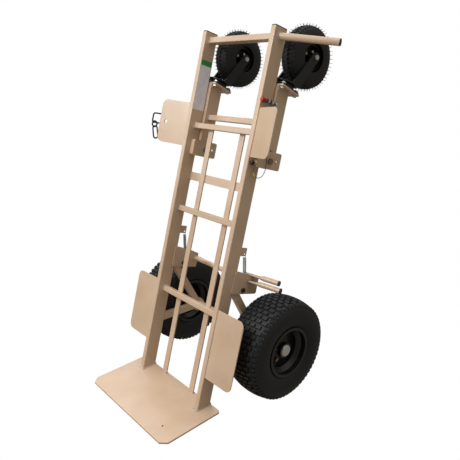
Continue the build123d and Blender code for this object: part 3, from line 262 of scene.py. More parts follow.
def add_node(tree, kind, links=None, **settings):
    """Adds a node. Settings are its own properties; links give each socket a source or a value."""
    node = tree.nodes.new(kind)
    for name, value in settings.items():
        setattr(node, name, value)
    for socket, value in (links or {}).items():
        if isinstance(value, bpy.types.NodeSocket):
            tree.links.new(value, node.inputs[socket])
        else:
            node.inputs[socket].default_value = value
    return node


def per(size_mm):
    """The noise scale that gives features of about this size."""
    return 1 / (size_mm * MM)


def new_finish(name):
    """An empty material: its node tree, its Principled shader and the Object coordinates."""
    material = bpy.data.materials.new(name)
    material.use_nodes = True
    tree = material.node_tree
    tree.nodes.clear()
    shader = add_node(tree, "ShaderNodeBsdfPrincipled")
    add_node(tree, "ShaderNodeOutputMaterial", {"Surface": shader.outputs["BSDF"]})
    place = add_node(tree, "ShaderNodeTexCoord").outputs["Object"]
    return material, tree, shader, place


floor_finish, _, shader, _ = new_finish("lit_white_acrylic_table")
shader.inputs["Base Color"].default_value = (0, 0, 0, 1)
shader.inputs["Specular IOR Level"].default_value = 0
shader.inputs["Emission Color"].default_value = (1, 1, 1, 1)
shader.inputs["Emission Strength"].default_value = 1
floor_mesh.materials.append(floor_finish)
print("table finish:", floor_finish.name)

# %% [markdown]
# Powder coat is sprayed as dry paint and baked, so it flows into a skin with a faint orange peel. Its
# colour is even, with slow drifts where the coat is thicker, and it turns to a pale line at some edges:
# partly the coat thinning there, partly a painted highlight where the edges catch the light. The pale
# lines follow an attribute that the bevelled edges carry, broken up with noise.

# %% Tan powder coat
COAT_LIGHT = "#CBB299"
COAT_DEEP = "#C2A78D"
# The pale edge colour: coat worn thin, together with a painted highlight on the edge.
COAT_WORN_AND_HIGHLIT_EDGE = "#DDD0C2"
DRIFT_MM = 160
PEEL_MM = 2.4
PALE_EDGE_NOISE_MM = 14
COAT_PALE_EDGE_FROM = 0.62
# The coat on the weld beads is paler and greyer than on the plates: a painted highlight that the beads catch.
WELD_LIGHT = "#CDC3B9"
WELD_DEEP = "#A2978C"
WELD_PALE_EDGE_FROM = 0.9


def powder_coat(name, light, deep, pale_from):
    """Baked powder coat on steel; edges turn pale, thin coat with a painted highlight, above the given noise
    threshold.
    """
    material, tree, shader, place = new_finish(name)
    drift = add_node(tree, "ShaderNodeTexNoise", {"Vector": place, "Scale": per(DRIFT_MM), "Detail": 4})
    spread = add_node(tree, "ShaderNodeMapRange", {"Value": drift.outputs["Fac"], "From Min": 0.35,
                                                   "From Max": 0.65})
    tone = add_node(tree, "ShaderNodeMix", {0: spread.outputs["Result"], 6: linear(light), 7: linear(deep)},
                    data_type="RGBA")
    edge = add_node(tree, "ShaderNodeAttribute", attribute_name="edge")
    pale_edge_noise = add_node(tree, "ShaderNodeTexNoise", {"Vector": place, "Scale": per(PALE_EDGE_NOISE_MM), "Detail": 6})
    above = add_node(tree, "ShaderNodeMapRange", {"Value": pale_edge_noise.outputs["Fac"], "From Min": pale_from,
                                                  "From Max": pale_from + 0.06})
    # The mask for the pale edges: noise on the bevel faces, painting a highlight along with the thin coat.
    pale_edge_mask = add_node(tree, "ShaderNodeMath", {0: above.outputs["Result"], 1: edge.outputs["Fac"]},
                     operation="MULTIPLY")
    colour = add_node(tree, "ShaderNodeMix", {0: pale_edge_mask.outputs["Value"], 6: tone.outputs[2],
                                              7: linear(COAT_WORN_AND_HIGHLIT_EDGE)}, data_type="RGBA")
    peel = add_node(tree, "ShaderNodeTexNoise", {"Vector": place, "Scale": per(PEEL_MM), "Detail": 2})
    bump = add_node(tree, "ShaderNodeBump", {"Height": peel.outputs["Fac"], "Strength": 0.12,
                                             "Distance": 0.3 * MM})
    gloss = add_node(tree, "ShaderNodeMapRange", {"Value": drift.outputs["Fac"], "To Min": 0.24,
                                                  "To Max": 0.36})
    shader.inputs["Specular IOR Level"].default_value = 0.75
    tree.links.new(colour.outputs[2], shader.inputs["Base Color"])
    tree.links.new(gloss.outputs["Result"], shader.inputs["Roughness"])
    tree.links.new(bump.outputs["Normal"], shader.inputs["Normal"])
    return material


tan_coat = powder_coat("tan_powder_coat", COAT_LIGHT, COAT_DEEP, COAT_PALE_EDGE_FROM)
# The weld coat's paler, greyer tone paints in the beads' highlights.
bead_coat = powder_coat("pale_grey_coat_on_weld_with_painted_highlight", WELD_LIGHT, WELD_DEEP, WELD_PALE_EDGE_FROM)
print("powder coat nodes:", len(tan_coat.node_tree.nodes))

# %% [markdown]
# The wheel rims and the forks are pressed steel under a thin satin black paint. Black paint looks flat
# unless it carries a little dust and uneven gloss, so both come from noise.

# %% Satin black paint
PAINT_BLACK = "#0B0E14"
PAINT_DUST = "#161A22"


def satin_paint(name, colour, dust, rough_low, rough_high, dust_mm):
    """Dark satin paint or plastic with a dusting of a lighter tone and uneven gloss."""
    material, tree, shader, place = new_finish(name)
    cloud = add_node(tree, "ShaderNodeTexNoise", {"Vector": place, "Scale": per(dust_mm), "Detail": 6})
    share = add_node(tree, "ShaderNodeMapRange", {"Value": cloud.outputs["Fac"], "From Min": 0.45,
                                                  "From Max": 0.75})
    tone = add_node(tree, "ShaderNodeMix", {0: share.outputs["Result"], 6: linear(colour), 7: linear(dust)},
                    data_type="RGBA")
    gloss = add_node(tree, "ShaderNodeMapRange", {"Value": cloud.outputs["Fac"], "To Min": rough_low,
                                                  "To Max": rough_high})
    pores = add_node(tree, "ShaderNodeTexNoise", {"Vector": place, "Scale": per(1.6), "Detail": 2})
    bump = add_node(tree, "ShaderNodeBump", {"Height": pores.outputs["Fac"], "Strength": 0.15,
                                             "Distance": 0.2 * MM})
    tree.links.new(tone.outputs[2], shader.inputs["Base Color"])
    tree.links.new(gloss.outputs["Result"], shader.inputs["Roughness"])
    tree.links.new(bump.outputs["Normal"], shader.inputs["Normal"])
    return material


black_paint = satin_paint("satin_black_paint", PAINT_BLACK, PAINT_DUST, 0.32, 0.50, 35)
black_plastic = satin_paint("moulded_black_polyethylene", "#141415", "#222224", 0.42, 0.60, 12)
tyre_rubber = satin_paint("vulcanised_tyre_rubber", "#090C12", "#0F131A", 0.55, 0.72, 55)
# The tread blocks get a lighter, bluish rubber than the carcass: some dust, and a painted bluish sheen on the
# block tops.
block_rubber = satin_paint("dusty_tread_rubber_with_painted_sheen", "#0E1219", "#1B222D", 0.34, 0.50, 40)
dipped_wire = satin_paint("dull_black_dipped_wire", "#050608", "#0B0C0F", 0.55, 0.70, 20)
red_vinyl = satin_paint("dipped_red_vinyl", "#B3161A", "#8E1014", 0.28, 0.42, 8)
yellow_vinyl = satin_paint("yellow_vinyl_sleeve", "#C9B21E", "#A58F14", 0.35, 0.5, 6)
cable_jacket = satin_paint("clear_coated_wire_cable", "#4A4844", "#6B675F", 0.30, 0.45, 3)
print("dark finishes: 8")

# %% [markdown]
# Bolts, nuts and axle ends are zinc plated: a bright grey metal with a faint spangle. The springs are
# drawn wire, plated the same way, and the valve is turned brass. The lever's bolts have the dark oxide skin
# of high-strength steel, and the arms' pivot bolts are weathered zinc.

# %% Plated metals
METAL_SHARE = 0.75


def plated_metal(name, bright, dull, rough_low, rough_high, spangle_mm):
    """Plated or drawn metal whose tone and gloss drift in small patches."""
    material, tree, shader, place = new_finish(name)
    patch = add_node(tree, "ShaderNodeTexNoise", {"Vector": place, "Scale": per(spangle_mm), "Detail": 4})
    tone = add_node(tree, "ShaderNodeMix", {0: patch.outputs["Fac"], 6: linear(bright), 7: linear(dull)},
                    data_type="RGBA")
    gloss = add_node(tree, "ShaderNodeMapRange", {"Value": patch.outputs["Fac"], "To Min": rough_low,
                                                  "To Max": rough_high})
    shader.inputs["Metallic"].default_value = METAL_SHARE
    tree.links.new(tone.outputs[2], shader.inputs["Base Color"])
    tree.links.new(gloss.outputs["Result"], shader.inputs["Roughness"])
    return material


zinc_steel = plated_metal("bright_zinc_plated_steel", "#E0E1E0", "#B4B7B7", 0.25, 0.45, 6)
dull_zinc = plated_metal("weathered_zinc_plated_steel", "#9A9388", "#716A60", 0.40, 0.60, 5)
spring_wire = plated_metal("zinc_plated_spring_wire", "#C9CBCB", "#8F9293", 0.22, 0.40, 4)
turned_brass = plated_metal("turned_brass", "#C79A4B", "#9A6F2E", 0.25, 0.40, 3)
black_oxide = plated_metal("black_oxide_steel", "#5A5754", "#3A3836", 0.35, 0.55, 5)
print("metals: 5")

# %% [markdown]
# Each solid of the assembly names a finish slot in the record. The slots are matched to the finishes
# above, and a solid whose shape is already right keeps its mesh and only gets its material.

# %% Finishes on the solids
FINISH_OF_SLOT = {
    "tan_powder_coat": tan_coat, "black_paint": black_paint, "tyre_rubber": tyre_rubber,
    "zinc_steel": zinc_steel, "spring_steel": spring_wire, "black_plastic": black_plastic,
    "red_plastic": red_vinyl, "coated_cable": cable_jacket,
}


def slot_of(node):
    """The finish slot that the record gives a node."""
    return next(part["material_slot"] for part in frame["record"]["subparts"] if part["node"] == node)


def paint(obj, material):
    """Gives an object this one finish."""
    obj.data.materials.clear()
    obj.data.materials.append(material)


for name, solid in nodes.items():
    paint(solid, FINISH_OF_SLOT[slot_of(name)])
paint(nodes["arm_pivot_bolts"], dull_zinc)
paint(nodes["lever_pivot_bolts"], black_oxide)
paint(nodes["stow_latch_housing"], zinc_steel)
paint(lanyard_cable, cable_jacket)
print("painted:", len(nodes))

# %% [markdown]
# New pieces are made with bmesh operators, and a few small forms come back again and again: a bar between
# two places, a hexagon nut and a box that leans with the rails. Cones and cubes with a matrix make them.

# %% Helpers for fittings
def turn_to(axis):
    """The rotation that takes Z to this axis."""
    return Vector((0, 0, 1)).rotation_difference(Vector(axis)).to_matrix().to_4x4()


def rod(form, start, end, radius, tip=None, sides=16):
    """A straight bar between two places, round or with few sides, tapering to tip if that is given."""
    place = Matrix.Translation((start + end) / 2) @ turn_to(end - start)
    bmesh.ops.create_cone(form, cap_ends=True, segments=sides, radius1=radius,
                          radius2=radius if tip is None else tip, depth=(end - start).length, matrix=place)


def slab(form, low, high):
    """A box between two upright corners in millimetres."""
    low, high = Vector(low) * MM, Vector(high) * MM
    place = LEANED @ Matrix.Translation((low + high) / 2) @ Matrix.Diagonal((*(high - low), 1))
    bmesh.ops.create_cube(form, size=1, matrix=place)


def box_in_mm(node):
    """A node's lowest and highest upright corners in millimetres."""
    low, high = upright_box(node)
    return low / MM, high / MM


SIDE = {"right": 1, "left": -1}
print("sides:", list(SIDE))

# %% [markdown]
# Cut steel plate never has a knife edge: the cutter leaves a small burr that is ground off before the
# coat goes on. A bevel modifier could round the edges, but the coat also wears there and is given a
# painted highlight, so the bevel is made in the mesh and its faces are marked for the coat's pale edges.

# %% Eased edges on plates
EASE = 0.9 * MM
EASE_ANGLE = math.radians(40)
FLAT_ANGLE = math.radians(0.5)
PLATES = [
    "toe_plate", "lower_wing_right", "lower_wing_left", "upper_wing_right", "upper_wing_left", "back_bars",
    "mid_crossbar", "arm_bracket_right", "arm_bracket_left", "caster_mounts", "lever_plates", "lever_lugs",
    "spring_tabs", "caster_plates",
]


def eased_copy(node):
    """A copy of a node's mesh with its sharp edges rounded and the rounded faces marked."""
    form = bmesh.new()
    form.from_mesh(nodes[node].data)
    bmesh.ops.remove_doubles(form, verts=form.verts, dist=0.001 * MM)
    bmesh.ops.dissolve_limit(form, angle_limit=FLAT_ANGLE, verts=form.verts, edges=form.edges)
    # The bevel faces carry the coat's pale edge: wear plus a painted highlight.
    pale_edge_layer = form.faces.layers.float.new("edge")
    sharp = [e for e in form.edges if len(e.link_faces) == 2 and e.calc_face_angle() > EASE_ANGLE]
    made = bmesh.ops.bevel(form, geom=sharp, offset=EASE, segments=2, profile=0.5, affect="EDGES",
                           material=-1, clamp_overlap=True)
    for face in made["faces"]:
        face[pale_edge_layer] = 1
    return form


for name in PLATES:
    slot = slot_of(name)
    piece = add_piece(name + "_plate", eased_copy(name), nodes[name]["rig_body"], 30)
    paint(piece, FINISH_OF_SLOT[slot])
    even = piece.modifiers.new("even_normals", "WEIGHTED_NORMAL")
    even.keep_sharp = True
    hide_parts(name)
print("eased plates:", len(PLATES))

# %% [markdown]
# A turf tyre has a rounded carcass with blocks of rubber laid on it like bricks. The carcass is a section
# spun once round the axle. Blocks could be modelled as one and arrayed, but each column sits on another
# slope of the crown, so a loop places short tapered blocks with a matrix for every row and column.

# %% Main tyres
TREAD_WIDTH = 148 * MM
TREAD_DROP = 11 * MM
GROOVE_DEPTH = 6.5 * MM
BLOCK_ROOT = 3 * MM
BLOCK_ROWS = 60
BLOCK_PITCH = 29.5 * MM
BLOCK_COLUMNS = (5, 4)
BLOCK_ACROSS = 25.5 * MM
BLOCK_ALONG = 17.5 * MM
BLOCK_TAPER = 0.88
BLOCK_SLANT = 0.08
BLOCK_EASE = 1.0 * MM
LUG_RISE = (2.2 * MM, 0.7 * MM)
LUG_STEPS = 2
LUG_OVERLAP = 1.1
LUG_SHARE = 0.9
SHOULDER_CUT = (3, 2)
TYRE_FOOT = 78 * MM
BEAD_THICK = 9 * MM
WALL_THICK = 10 * MM
CROWN_THICK = 16 * MM
SECTION_STEPS = 14
SPIN_STEPS = 108
RIM_GAP = 0.3 * MM


def arc(start, middle, end, steps):
    """Points along the arc through three points of a section."""
    a, b, c = (complex(*point) for point in (start, middle, end))
    w = (c - a) / (b - a)
    centre = (b - a) * (w - abs(w) ** 2) / (2j * w.imag) + a
    sweep = cmath.phase((c - centre) / (a - centre))
    turned = [centre + (a - centre) * cmath.exp(1j * sweep * i / steps) for i in range(steps + 1)]
    return [(point.real, point.imag) for point in turned]


def spun(form, section, steps, closed):
    """Spins a section of (across, outward) points round the axle, which lies along X."""
    verts = [form.verts.new((across, 0, outward)) for across, outward in section]
    pairs = list(zip(verts, verts[1:]))
    if closed:
        pairs.append((verts[-1], verts[0]))
    edges = [form.edges.new(pair) for pair in pairs]
    bmesh.ops.spin(form, geom=verts + edges, cent=(0, 0, 0), axis=(1, 0, 0), angle=math.tau, steps=steps,
                   use_merge=True)


def block(form, turn, across, outward, tilt, size, slant):
    """A tapered rubber block whose top lies at this place of the section, turned round the axle."""
    wide, long, deep = size
    sheared = Matrix.Identity(4)
    sheared[1][0] = slant
    place = (Matrix.Rotation(turn, 4, "X") @ Matrix.Translation((across, 0, outward))
             @ Matrix.Rotation(tilt, 4, "Y") @ sheared @ Matrix.Translation((0, 0, -deep / 2))
             @ Matrix.Diagonal((wide, long, deep, 1)) @ Matrix.Rotation(math.radians(45), 4, "Z"))
    bmesh.ops.create_cone(form, cap_ends=True, segments=4, radius1=math.sqrt(0.5),
                          radius2=math.sqrt(0.5) * BLOCK_TAPER, depth=1, matrix=place)


def mirrored(section):
    """A half section that starts at the crown, carried on to the other side."""
    return [(-across, outward) for across, outward in reversed(section[1:])] + section


def main_tyre(side):
    """One turf tyre: carcass, blocks, shoulder lugs and two thin mould rings on each wall."""
    low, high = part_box("tyre_" + side)
    centre = (low + high) / 2
    radius = (high.z - low.z) / 2
    half_wide = (high.x - low.x) / 2
    flange = (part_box("rim_" + side)[1].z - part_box("rim_" + side)[0].z) / 2 + RIM_GAP
    half_tread = TREAD_WIDTH / 2
    shoulder = radius - TREAD_DROP
    crown = arc((-half_tread, shoulder), (0, radius), (half_tread, shoulder), 2 * SECTION_STEPS)
    crown_radius = (half_tread ** 2 + TREAD_DROP ** 2) / (2 * TREAD_DROP)
    middle_out = (shoulder + flange) / 2
    wall = arc((half_tread, shoulder), (half_wide, middle_out), (TYRE_FOOT, flange), SECTION_STEPS)
    crown_cut, wall_cut = SHOULDER_CUT
    floor_half = [(x, r - GROOVE_DEPTH) for x, r in crown[SECTION_STEPS:-crown_cut]]
    outer = mirrored(floor_half + wall[wall_cut:])
    inner = [(TYRE_FOOT - BEAD_THICK, flange), (half_wide - WALL_THICK, middle_out),
             (half_tread - WALL_THICK, shoulder - WALL_THICK), (0, radius - CROWN_THICK)]
    form = bmesh.new()
    spun(form, outer + inner + [(-x, r) for x, r in reversed(inner[:3])], SPIN_STEPS, True)
    bmesh.ops.recalc_face_normals(form, faces=form.faces)
    carcass_faces = len(form.faces)
    blocks = bmesh.new()
    deep = GROOVE_DEPTH + BLOCK_ROOT
    for row in range(BLOCK_ROWS):
        count = BLOCK_COLUMNS[row % 2]
        for column in range(count):
            across = (column - (count - 1) / 2) * BLOCK_PITCH
            lean = math.asin(across / crown_radius)
            outward = radius - crown_radius * (1 - math.cos(lean))
            turn = math.tau * row / BLOCK_ROWS - BLOCK_SLANT * across / radius
            block(blocks, turn, across, outward, lean, (BLOCK_ACROSS, BLOCK_ALONG, deep), BLOCK_SLANT)
        for way in SIDE.values():
            for i, rise in enumerate(LUG_RISE):
                top, bottom = Vector(wall[i * LUG_STEPS]), Vector(wall[(i + 1) * LUG_STEPS])
                run = bottom - top
                middle = (top + bottom) / 2 + rise * Vector((-run.y, run.x)).normalized()
                turn = math.tau * row / BLOCK_ROWS - BLOCK_SLANT * way * middle.x / radius
                size = (run.length * LUG_OVERLAP, BLOCK_ALONG * LUG_SHARE, deep)
                lean = way * math.atan2(-run.y, run.x)
                block(blocks, turn, way * middle.x, middle.y, lean, size, BLOCK_SLANT)
    for face in blocks.faces:
        face.material_index = 1
    bmesh.ops.bevel(blocks, geom=blocks.edges, offset=BLOCK_EASE, segments=1, profile=0.5, affect="EDGES",
                    material=-1, clamp_overlap=True)
    blocks_mesh = bpy.data.meshes.new("blocks")
    blocks.to_mesh(blocks_mesh)
    blocks.free()
    form.from_mesh(blocks_mesh)
    bpy.data.meshes.remove(blocks_mesh)
    bmesh.ops.translate(form, verts=form.verts, vec=centre)
    piece = add_piece("turf_tyre_" + side, form, "wheel_" + side, 35)
    paint(piece, tyre_rubber)
    piece.data.materials.append(block_rubber)
    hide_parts("tyre_" + side)
    return carcass_faces, len(piece.data.polygons)


for side in SIDE:
    print("turf tyre", side, "carcass and total faces:", main_tyre(side))

# %% [markdown]
# The small wheels have the same kind of tyre in a finer pattern, and fresh from the mould: thin rubber
# hairs still stand where the vents let the air out. The hairs are short tapered cones set in rings.

# %% Small tyres
SMALL_TREAD = 64 * MM
SMALL_DROP = 9 * MM
SMALL_GROOVE = 3 * MM
SMALL_ROWS = 46
SMALL_COLUMNS = (-21 * MM, 0.0, 21 * MM)
SMALL_BLOCK = (18 * MM, 12 * MM, 5 * MM)
SMALL_CUT = (2, 1)
SMALL_RIM_LIP = 3 * MM
SMALL_BEAD_THICK = 5 * MM
SMALL_CROWN_THICK = 12 * MM
HAIR_ROWS = 46
HAIR_LENGTH = 12 * MM
HAIR_THICK = 1.3 * MM
HAIR_ROOT = 1 * MM
HAIR_SWAY = 0.45
HAIR_STAGGER = 0.31
HAIR_SHOULDER_TILT = math.radians(50)
HAIR_SEED = 7
HAIR_COLUMNS = (-33 * MM, -11 * MM, 11 * MM, 33 * MM)


def hair(form, turn, across, outward, tilt):
    """A thin moulding hair that stands on the tread."""
    place = (Matrix.Rotation(turn, 4, "X") @ Matrix.Translation((across, 0, outward))
             @ Matrix.Rotation(tilt, 4, "Y") @ Matrix.Translation((0, 0, HAIR_LENGTH / 2 - HAIR_ROOT)))
    bmesh.ops.create_cone(form, cap_ends=True, segments=5, radius1=HAIR_THICK, radius2=HAIR_THICK / 2,
                          depth=HAIR_LENGTH, matrix=place)


def small_tyre(side):
    """One small pneumatic tyre with fine blocks and moulding hairs."""
    low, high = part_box("caster_tyre_" + side)
    centre = (low + high) / 2
    radius = (high.z - low.z) / 2
    half_wide = (high.x - low.x) / 2
    rim_low, rim_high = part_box("caster_rim_" + side)
    flange = (rim_high.z - rim_low.z) / 2 + RIM_GAP
    half_tread = SMALL_TREAD / 2
    shoulder = radius - SMALL_DROP
    foot = (rim_high.x - rim_low.x) / 2 - SMALL_RIM_LIP
    crown = arc((-half_tread, shoulder), (0, radius), (half_tread, shoulder), 2 * SECTION_STEPS)
    crown_radius = (half_tread ** 2 + SMALL_DROP ** 2) / (2 * SMALL_DROP)
    wall = arc((half_tread, shoulder), (half_wide, (shoulder + flange) / 2), (foot, flange), SECTION_STEPS)
    crown_cut, wall_cut = SMALL_CUT
    floor_half = [(x, r - SMALL_GROOVE) for x, r in crown[SECTION_STEPS:-crown_cut]]
    inside = [(foot - SMALL_BEAD_THICK, flange), (0, radius - SMALL_CROWN_THICK),
              (SMALL_BEAD_THICK - foot, flange)]
    form = bmesh.new()
    spun(form, mirrored(floor_half + wall[wall_cut:]) + inside, SPIN_STEPS, True)
    bmesh.ops.recalc_face_normals(form, faces=form.faces)
    dice = random.Random(HAIR_SEED)
    for row in range(SMALL_ROWS):
        for column, across in enumerate(SMALL_COLUMNS):
            lean = math.asin(across / crown_radius)
            turn = math.tau * (row + column % 2 / 2) / SMALL_ROWS
            block(form, turn, across, radius - crown_radius * (1 - math.cos(lean)), lean, SMALL_BLOCK, 0)
    for row in range(HAIR_ROWS):
        for column, across in enumerate(HAIR_COLUMNS):
            lean = math.asin(across / crown_radius) if abs(across) < half_tread else HAIR_SHOULDER_TILT
            turn = math.tau * (row + HAIR_STAGGER * column) / HAIR_ROWS
            outward = radius - crown_radius * (1 - math.cos(math.asin(across / crown_radius)))
            sway = dice.uniform(-HAIR_SWAY, HAIR_SWAY)
            hair(form, turn, across, outward, math.copysign(abs(lean), across) + sway)
    bmesh.ops.translate(form, verts=form.verts, vec=centre)
    piece = add_piece("small_tyre_" + side, form, "caster_wheel_" + side, 35)
    paint(piece, tyre_rubber)
    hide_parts("caster_tyre_" + side)
    return len(piece.data.polygons)


for side in SIDE:
    print("small tyre", side, "faces:", small_tyre(side))

# %% [markdown]
# The frame is held together by weld beads: little overlapping pools of metal in the corners where tubes
# and plates meet. A swept round would look like putty, so each bead is a row of small flattened drops.
# One helper lays a row along a line, and another goes round a box-shaped tube end.

# %% Weld beads
BEAD_STEP = 3.6 * MM
BEAD_RADIUS = 3.4 * MM
FOOT_BEAD_RADIUS = 5.5 * MM
RAIL_SIDE = RAIL_HIGH.x / MM
RAIL_MIDDLE = (RAIL_LOW.x + RAIL_HIGH.x) / 2 / MM
WING_BEHIND = 9
BEAD_CLEAR = 12
RING_CLEAR = 0.5
RING_STEPS = 12
BEAD_SQUASH = 0.8
MOUNT_BEAD_INSET = 4
MOUNT_BEAD_DROP = (14, 2)


def bead_line(form, start, end, radius=BEAD_RADIUS):
    """A row of weld drops between two upright places in millimetres."""
    first, last = upright(*start), upright(*end)
    count = max(1, round((last - first).length / BEAD_STEP))
    along = turn_to((last - first).normalized())
    for i in range(count + 1):
        place = Matrix.Translation(first.lerp(last, i / count)) @ along
        drop = place @ Matrix.Diagonal((1, 1, BEAD_SQUASH, 1))
        bmesh.ops.create_icosphere(form, subdivisions=1, radius=radius, matrix=drop)


def bead_loop(form, corners, radius=BEAD_RADIUS):
    """A weld all round a tube end or plate foot, through these upright corners."""
    for start, end in zip(corners, corners[1:] + corners[:1]):
        bead_line(form, start, end, radius)


def ends_on_rails(form, node):
    """Welds both ends of a bar that runs across between the rails."""
    low, high = box_in_mm(node)
    for x in (low.x, high.x):
        bead_loop(form, [(x, low.y, low.z), (x, high.y, low.z), (x, high.y, high.z), (x, low.y, high.z)])


def bead_ring(form, centre, radius):
    """A weld round a tube that ends on an upright face across X, with its centre in millimetres."""
    turns = [math.tau * i / RING_STEPS for i in range(RING_STEPS)]
    x, y, z = centre
    bead_loop(form, [(x, y + radius * math.cos(turn), z + radius * math.sin(turn)) for turn in turns])


def finish_welds(form, body):
    """Turns the drops laid so far into one coated piece on a body."""
    piece = add_piece(body + "_weld_beads", form, body, 180)
    paint(piece, bead_coat)
    print(body, "weld faces:", len(piece.data.polygons))


welds = bmesh.new()
for node in ("top_crossbar", "rung_upper", "rung_middle", "rung_lower", "mid_crossbar"):
    ends_on_rails(welds, node)
foot_back = (RAIL_HIGH.y - RAIL_LOW.y) / math.cos(LEAN)
for side, sign in SIDE.items():
    low, high = box_in_mm("rail_" + side)
    corners = ((low.x, 0), (high.x, 0), (high.x, foot_back), (low.x, foot_back))
    foot = [UPRIGHT @ Vector((x * MM, y, PLATE_TOP)) / MM for x, y in corners]
    bead_loop(welds, foot, FOOT_BEAD_RADIUS)
    for kind in ("lower_wing_", "upper_wing_"):
        wing_low, wing_high = box_in_mm(kind + side)
        bead_line(welds, (sign * RAIL_SIDE, WING_BEHIND, wing_low.z + BEAD_CLEAR),
                  (sign * RAIL_SIDE, WING_BEHIND, wing_high.z - BEAD_CLEAR))
    tab_low, tab_high = box_in_mm("spring_tabs")
    bead_line(welds, (sign * RAIL_MIDDLE, tab_low.y, tab_low.z),
              (sign * RAIL_MIDDLE, tab_low.y, tab_high.z))
handle_low, handle_high = box_in_mm("side_handle")
handle_radius = (handle_high.z - handle_low.z) / 2
bead_ring(welds, (RAIL_SIDE, (RAIL_LOW.y + RAIL_HIGH.y) / 2 / MM, handle_low.z + handle_radius),
          handle_radius + RING_CLEAR)
finish_welds(welds, "frame")

welds = bmesh.new()
ends_on_rails(welds, "arm_crossbar")
for side in SIDE:
    arm_low, arm_high = box_in_mm("arm_" + side)
    for x in (arm_low.x, arm_high.x):
        bead_line(welds, (x, arm_low.y + MOUNT_BEAD_INSET, arm_high.z - MOUNT_BEAD_DROP[0]),
                  (x, arm_high.y - MOUNT_BEAD_INSET, arm_high.z - MOUNT_BEAD_DROP[1]))
finish_welds(welds, "caster_frame")

welds = bmesh.new()
tube_low, tube_high = box_in_mm("lever_cross_tube")
tube_centre = (tube_low + tube_high) / 2
tube_radius = (tube_high.z - tube_low.z) / 2
for x in (tube_low.x, tube_high.x):
    bead_ring(welds, (x, tube_centre.y, tube_centre.z), tube_radius + RING_CLEAR)
finish_welds(welds, "foot_lever")

# %% [markdown]
# Two extension springs pull the foot lever back up. Each is one wire: a hook round the lever's pin, a close
# coil and a hook through the ear on the rail. The wire's path is worked out point by point, and the piece
# is left on no body.

# %% Return springs
SPRING_WIRE = 2.4 * MM
COIL_RADIUS = 6.6 * MM
COIL_TURNS = 21
COIL_POINTS = 10
HOOK_RADIUS = 6.2 * MM
SHANK = 9 * MM
HOLE_IN_TAB = Vector((32, 9))


def spring_path(pin, hole):
    """Places along a spring's wire, from the hook on the pin to the hook in the hole."""
    across = Vector((1, 0, 0))
    along = (hole - pin).normalized()
    aside = along.cross(across)
    length = (hole - pin).length
    hook = [math.radians(angle) for angle in range(-210, 61, 30)]
    path = [pin + HOOK_RADIUS * (math.cos(a) * aside - math.sin(a) * along) for a in hook]
    path.reverse()
    count = COIL_TURNS * COIL_POINTS
    for i in range(count + 1):
        turn = math.tau * i / COIL_POINTS
        up = HOOK_RADIUS + SHANK + (length - 2 * (HOOK_RADIUS + SHANK)) * i / count
        path.append(pin + along * up + COIL_RADIUS * (math.cos(turn) * across + math.sin(turn) * aside))
    return path + [hole + HOOK_RADIUS * (math.cos(a) * aside + math.sin(a) * along) for a in reversed(hook)]


pin_low, pin_high = box_in_mm("spring_pins")
for side in SIDE:
    spring_low, spring_high = box_in_mm("return_spring_" + side)
    x = (spring_low.x + spring_high.x) / 2
    pin = upright(x, (pin_low.y + pin_high.y) / 2, (pin_low.z + pin_high.z) / 2)
    hole = upright(x, tab_low.y + HOLE_IN_TAB.x, tab_low.z + HOLE_IN_TAB.y)
    form = wire(spring_path(pin, hole), SPRING_WIRE, 2, 2)
    spring = add_piece("coil_spring_" + side, form, None, 60)
    paint(spring, spring_wire)
    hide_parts("return_spring_" + side)
    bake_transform(spring)
print("spring points:", len(spring_path(pin, hole)))

# %% [markdown]
# The foot lever's two toe bars are tubes whose roots are pressed flat before they are welded on. Each is a
# stack of rings along the bar's line, ovals at the root and circles at the end, bridged into one skin. The
# line is taken from the assembly's plain tube.

# %% Toe bars
TOE_RADIUS = 11 * MM
TOE_FLAT = (4.5 * MM, 14.5 * MM)
TOE_FLAT_LENGTH = {"upper": 68 * MM, "lower": 28 * MM}
TOE_FLARE = 26 * MM
TOE_FLARE_STEPS = 6
TOE_SIDES = 24
TOE_SWEEP = math.radians(17.5)
TOE_PLUG = (11.4 * MM, 6 * MM)

toe_along = Vector((math.cos(TOE_SWEEP), math.sin(TOE_SWEEP), 0))
toe_axes = Matrix(((0, 0, 1), (-math.sin(TOE_SWEEP), math.cos(TOE_SWEEP), 0), toe_along)).transposed()
toe_low, toe_high = upright_box("toe_bars")
toe_between = (toe_low.z + toe_high.z) / 2


def toe_bar_ends(upper):
    """The upright places where the middle line of one toe bar starts and ends."""
    places = [UPRIGHT @ vertex.co for vertex in nodes["toe_bars"].data.vertices]
    own = [place for place in places if (place.z > toe_between) == upper]
    reach = max(place.dot(toe_along) for place in own)
    rim = [place for place in own if place.dot(toe_along) > reach - 0.1 * MM]
    end = sum(rim, Vector()) / len(rim)
    return end + toe_along * (min(place.x for place in own) - end.x) / toe_along.x, end


def toe_rings(flat, length):
    """How far along the bar each ring lies, with its half height and half width."""
    rings = [(0, *TOE_FLAT)]
    for i in range(TOE_FLARE_STEPS + 1):
        share = i / TOE_FLARE_STEPS
        ease = share * share * (3 - 2 * share)
        rings.append((flat + TOE_FLARE * share, *(edge + (TOE_RADIUS - edge) * ease for edge in TOE_FLAT)))
    return rings + [(length, TOE_RADIUS, TOE_RADIUS)]


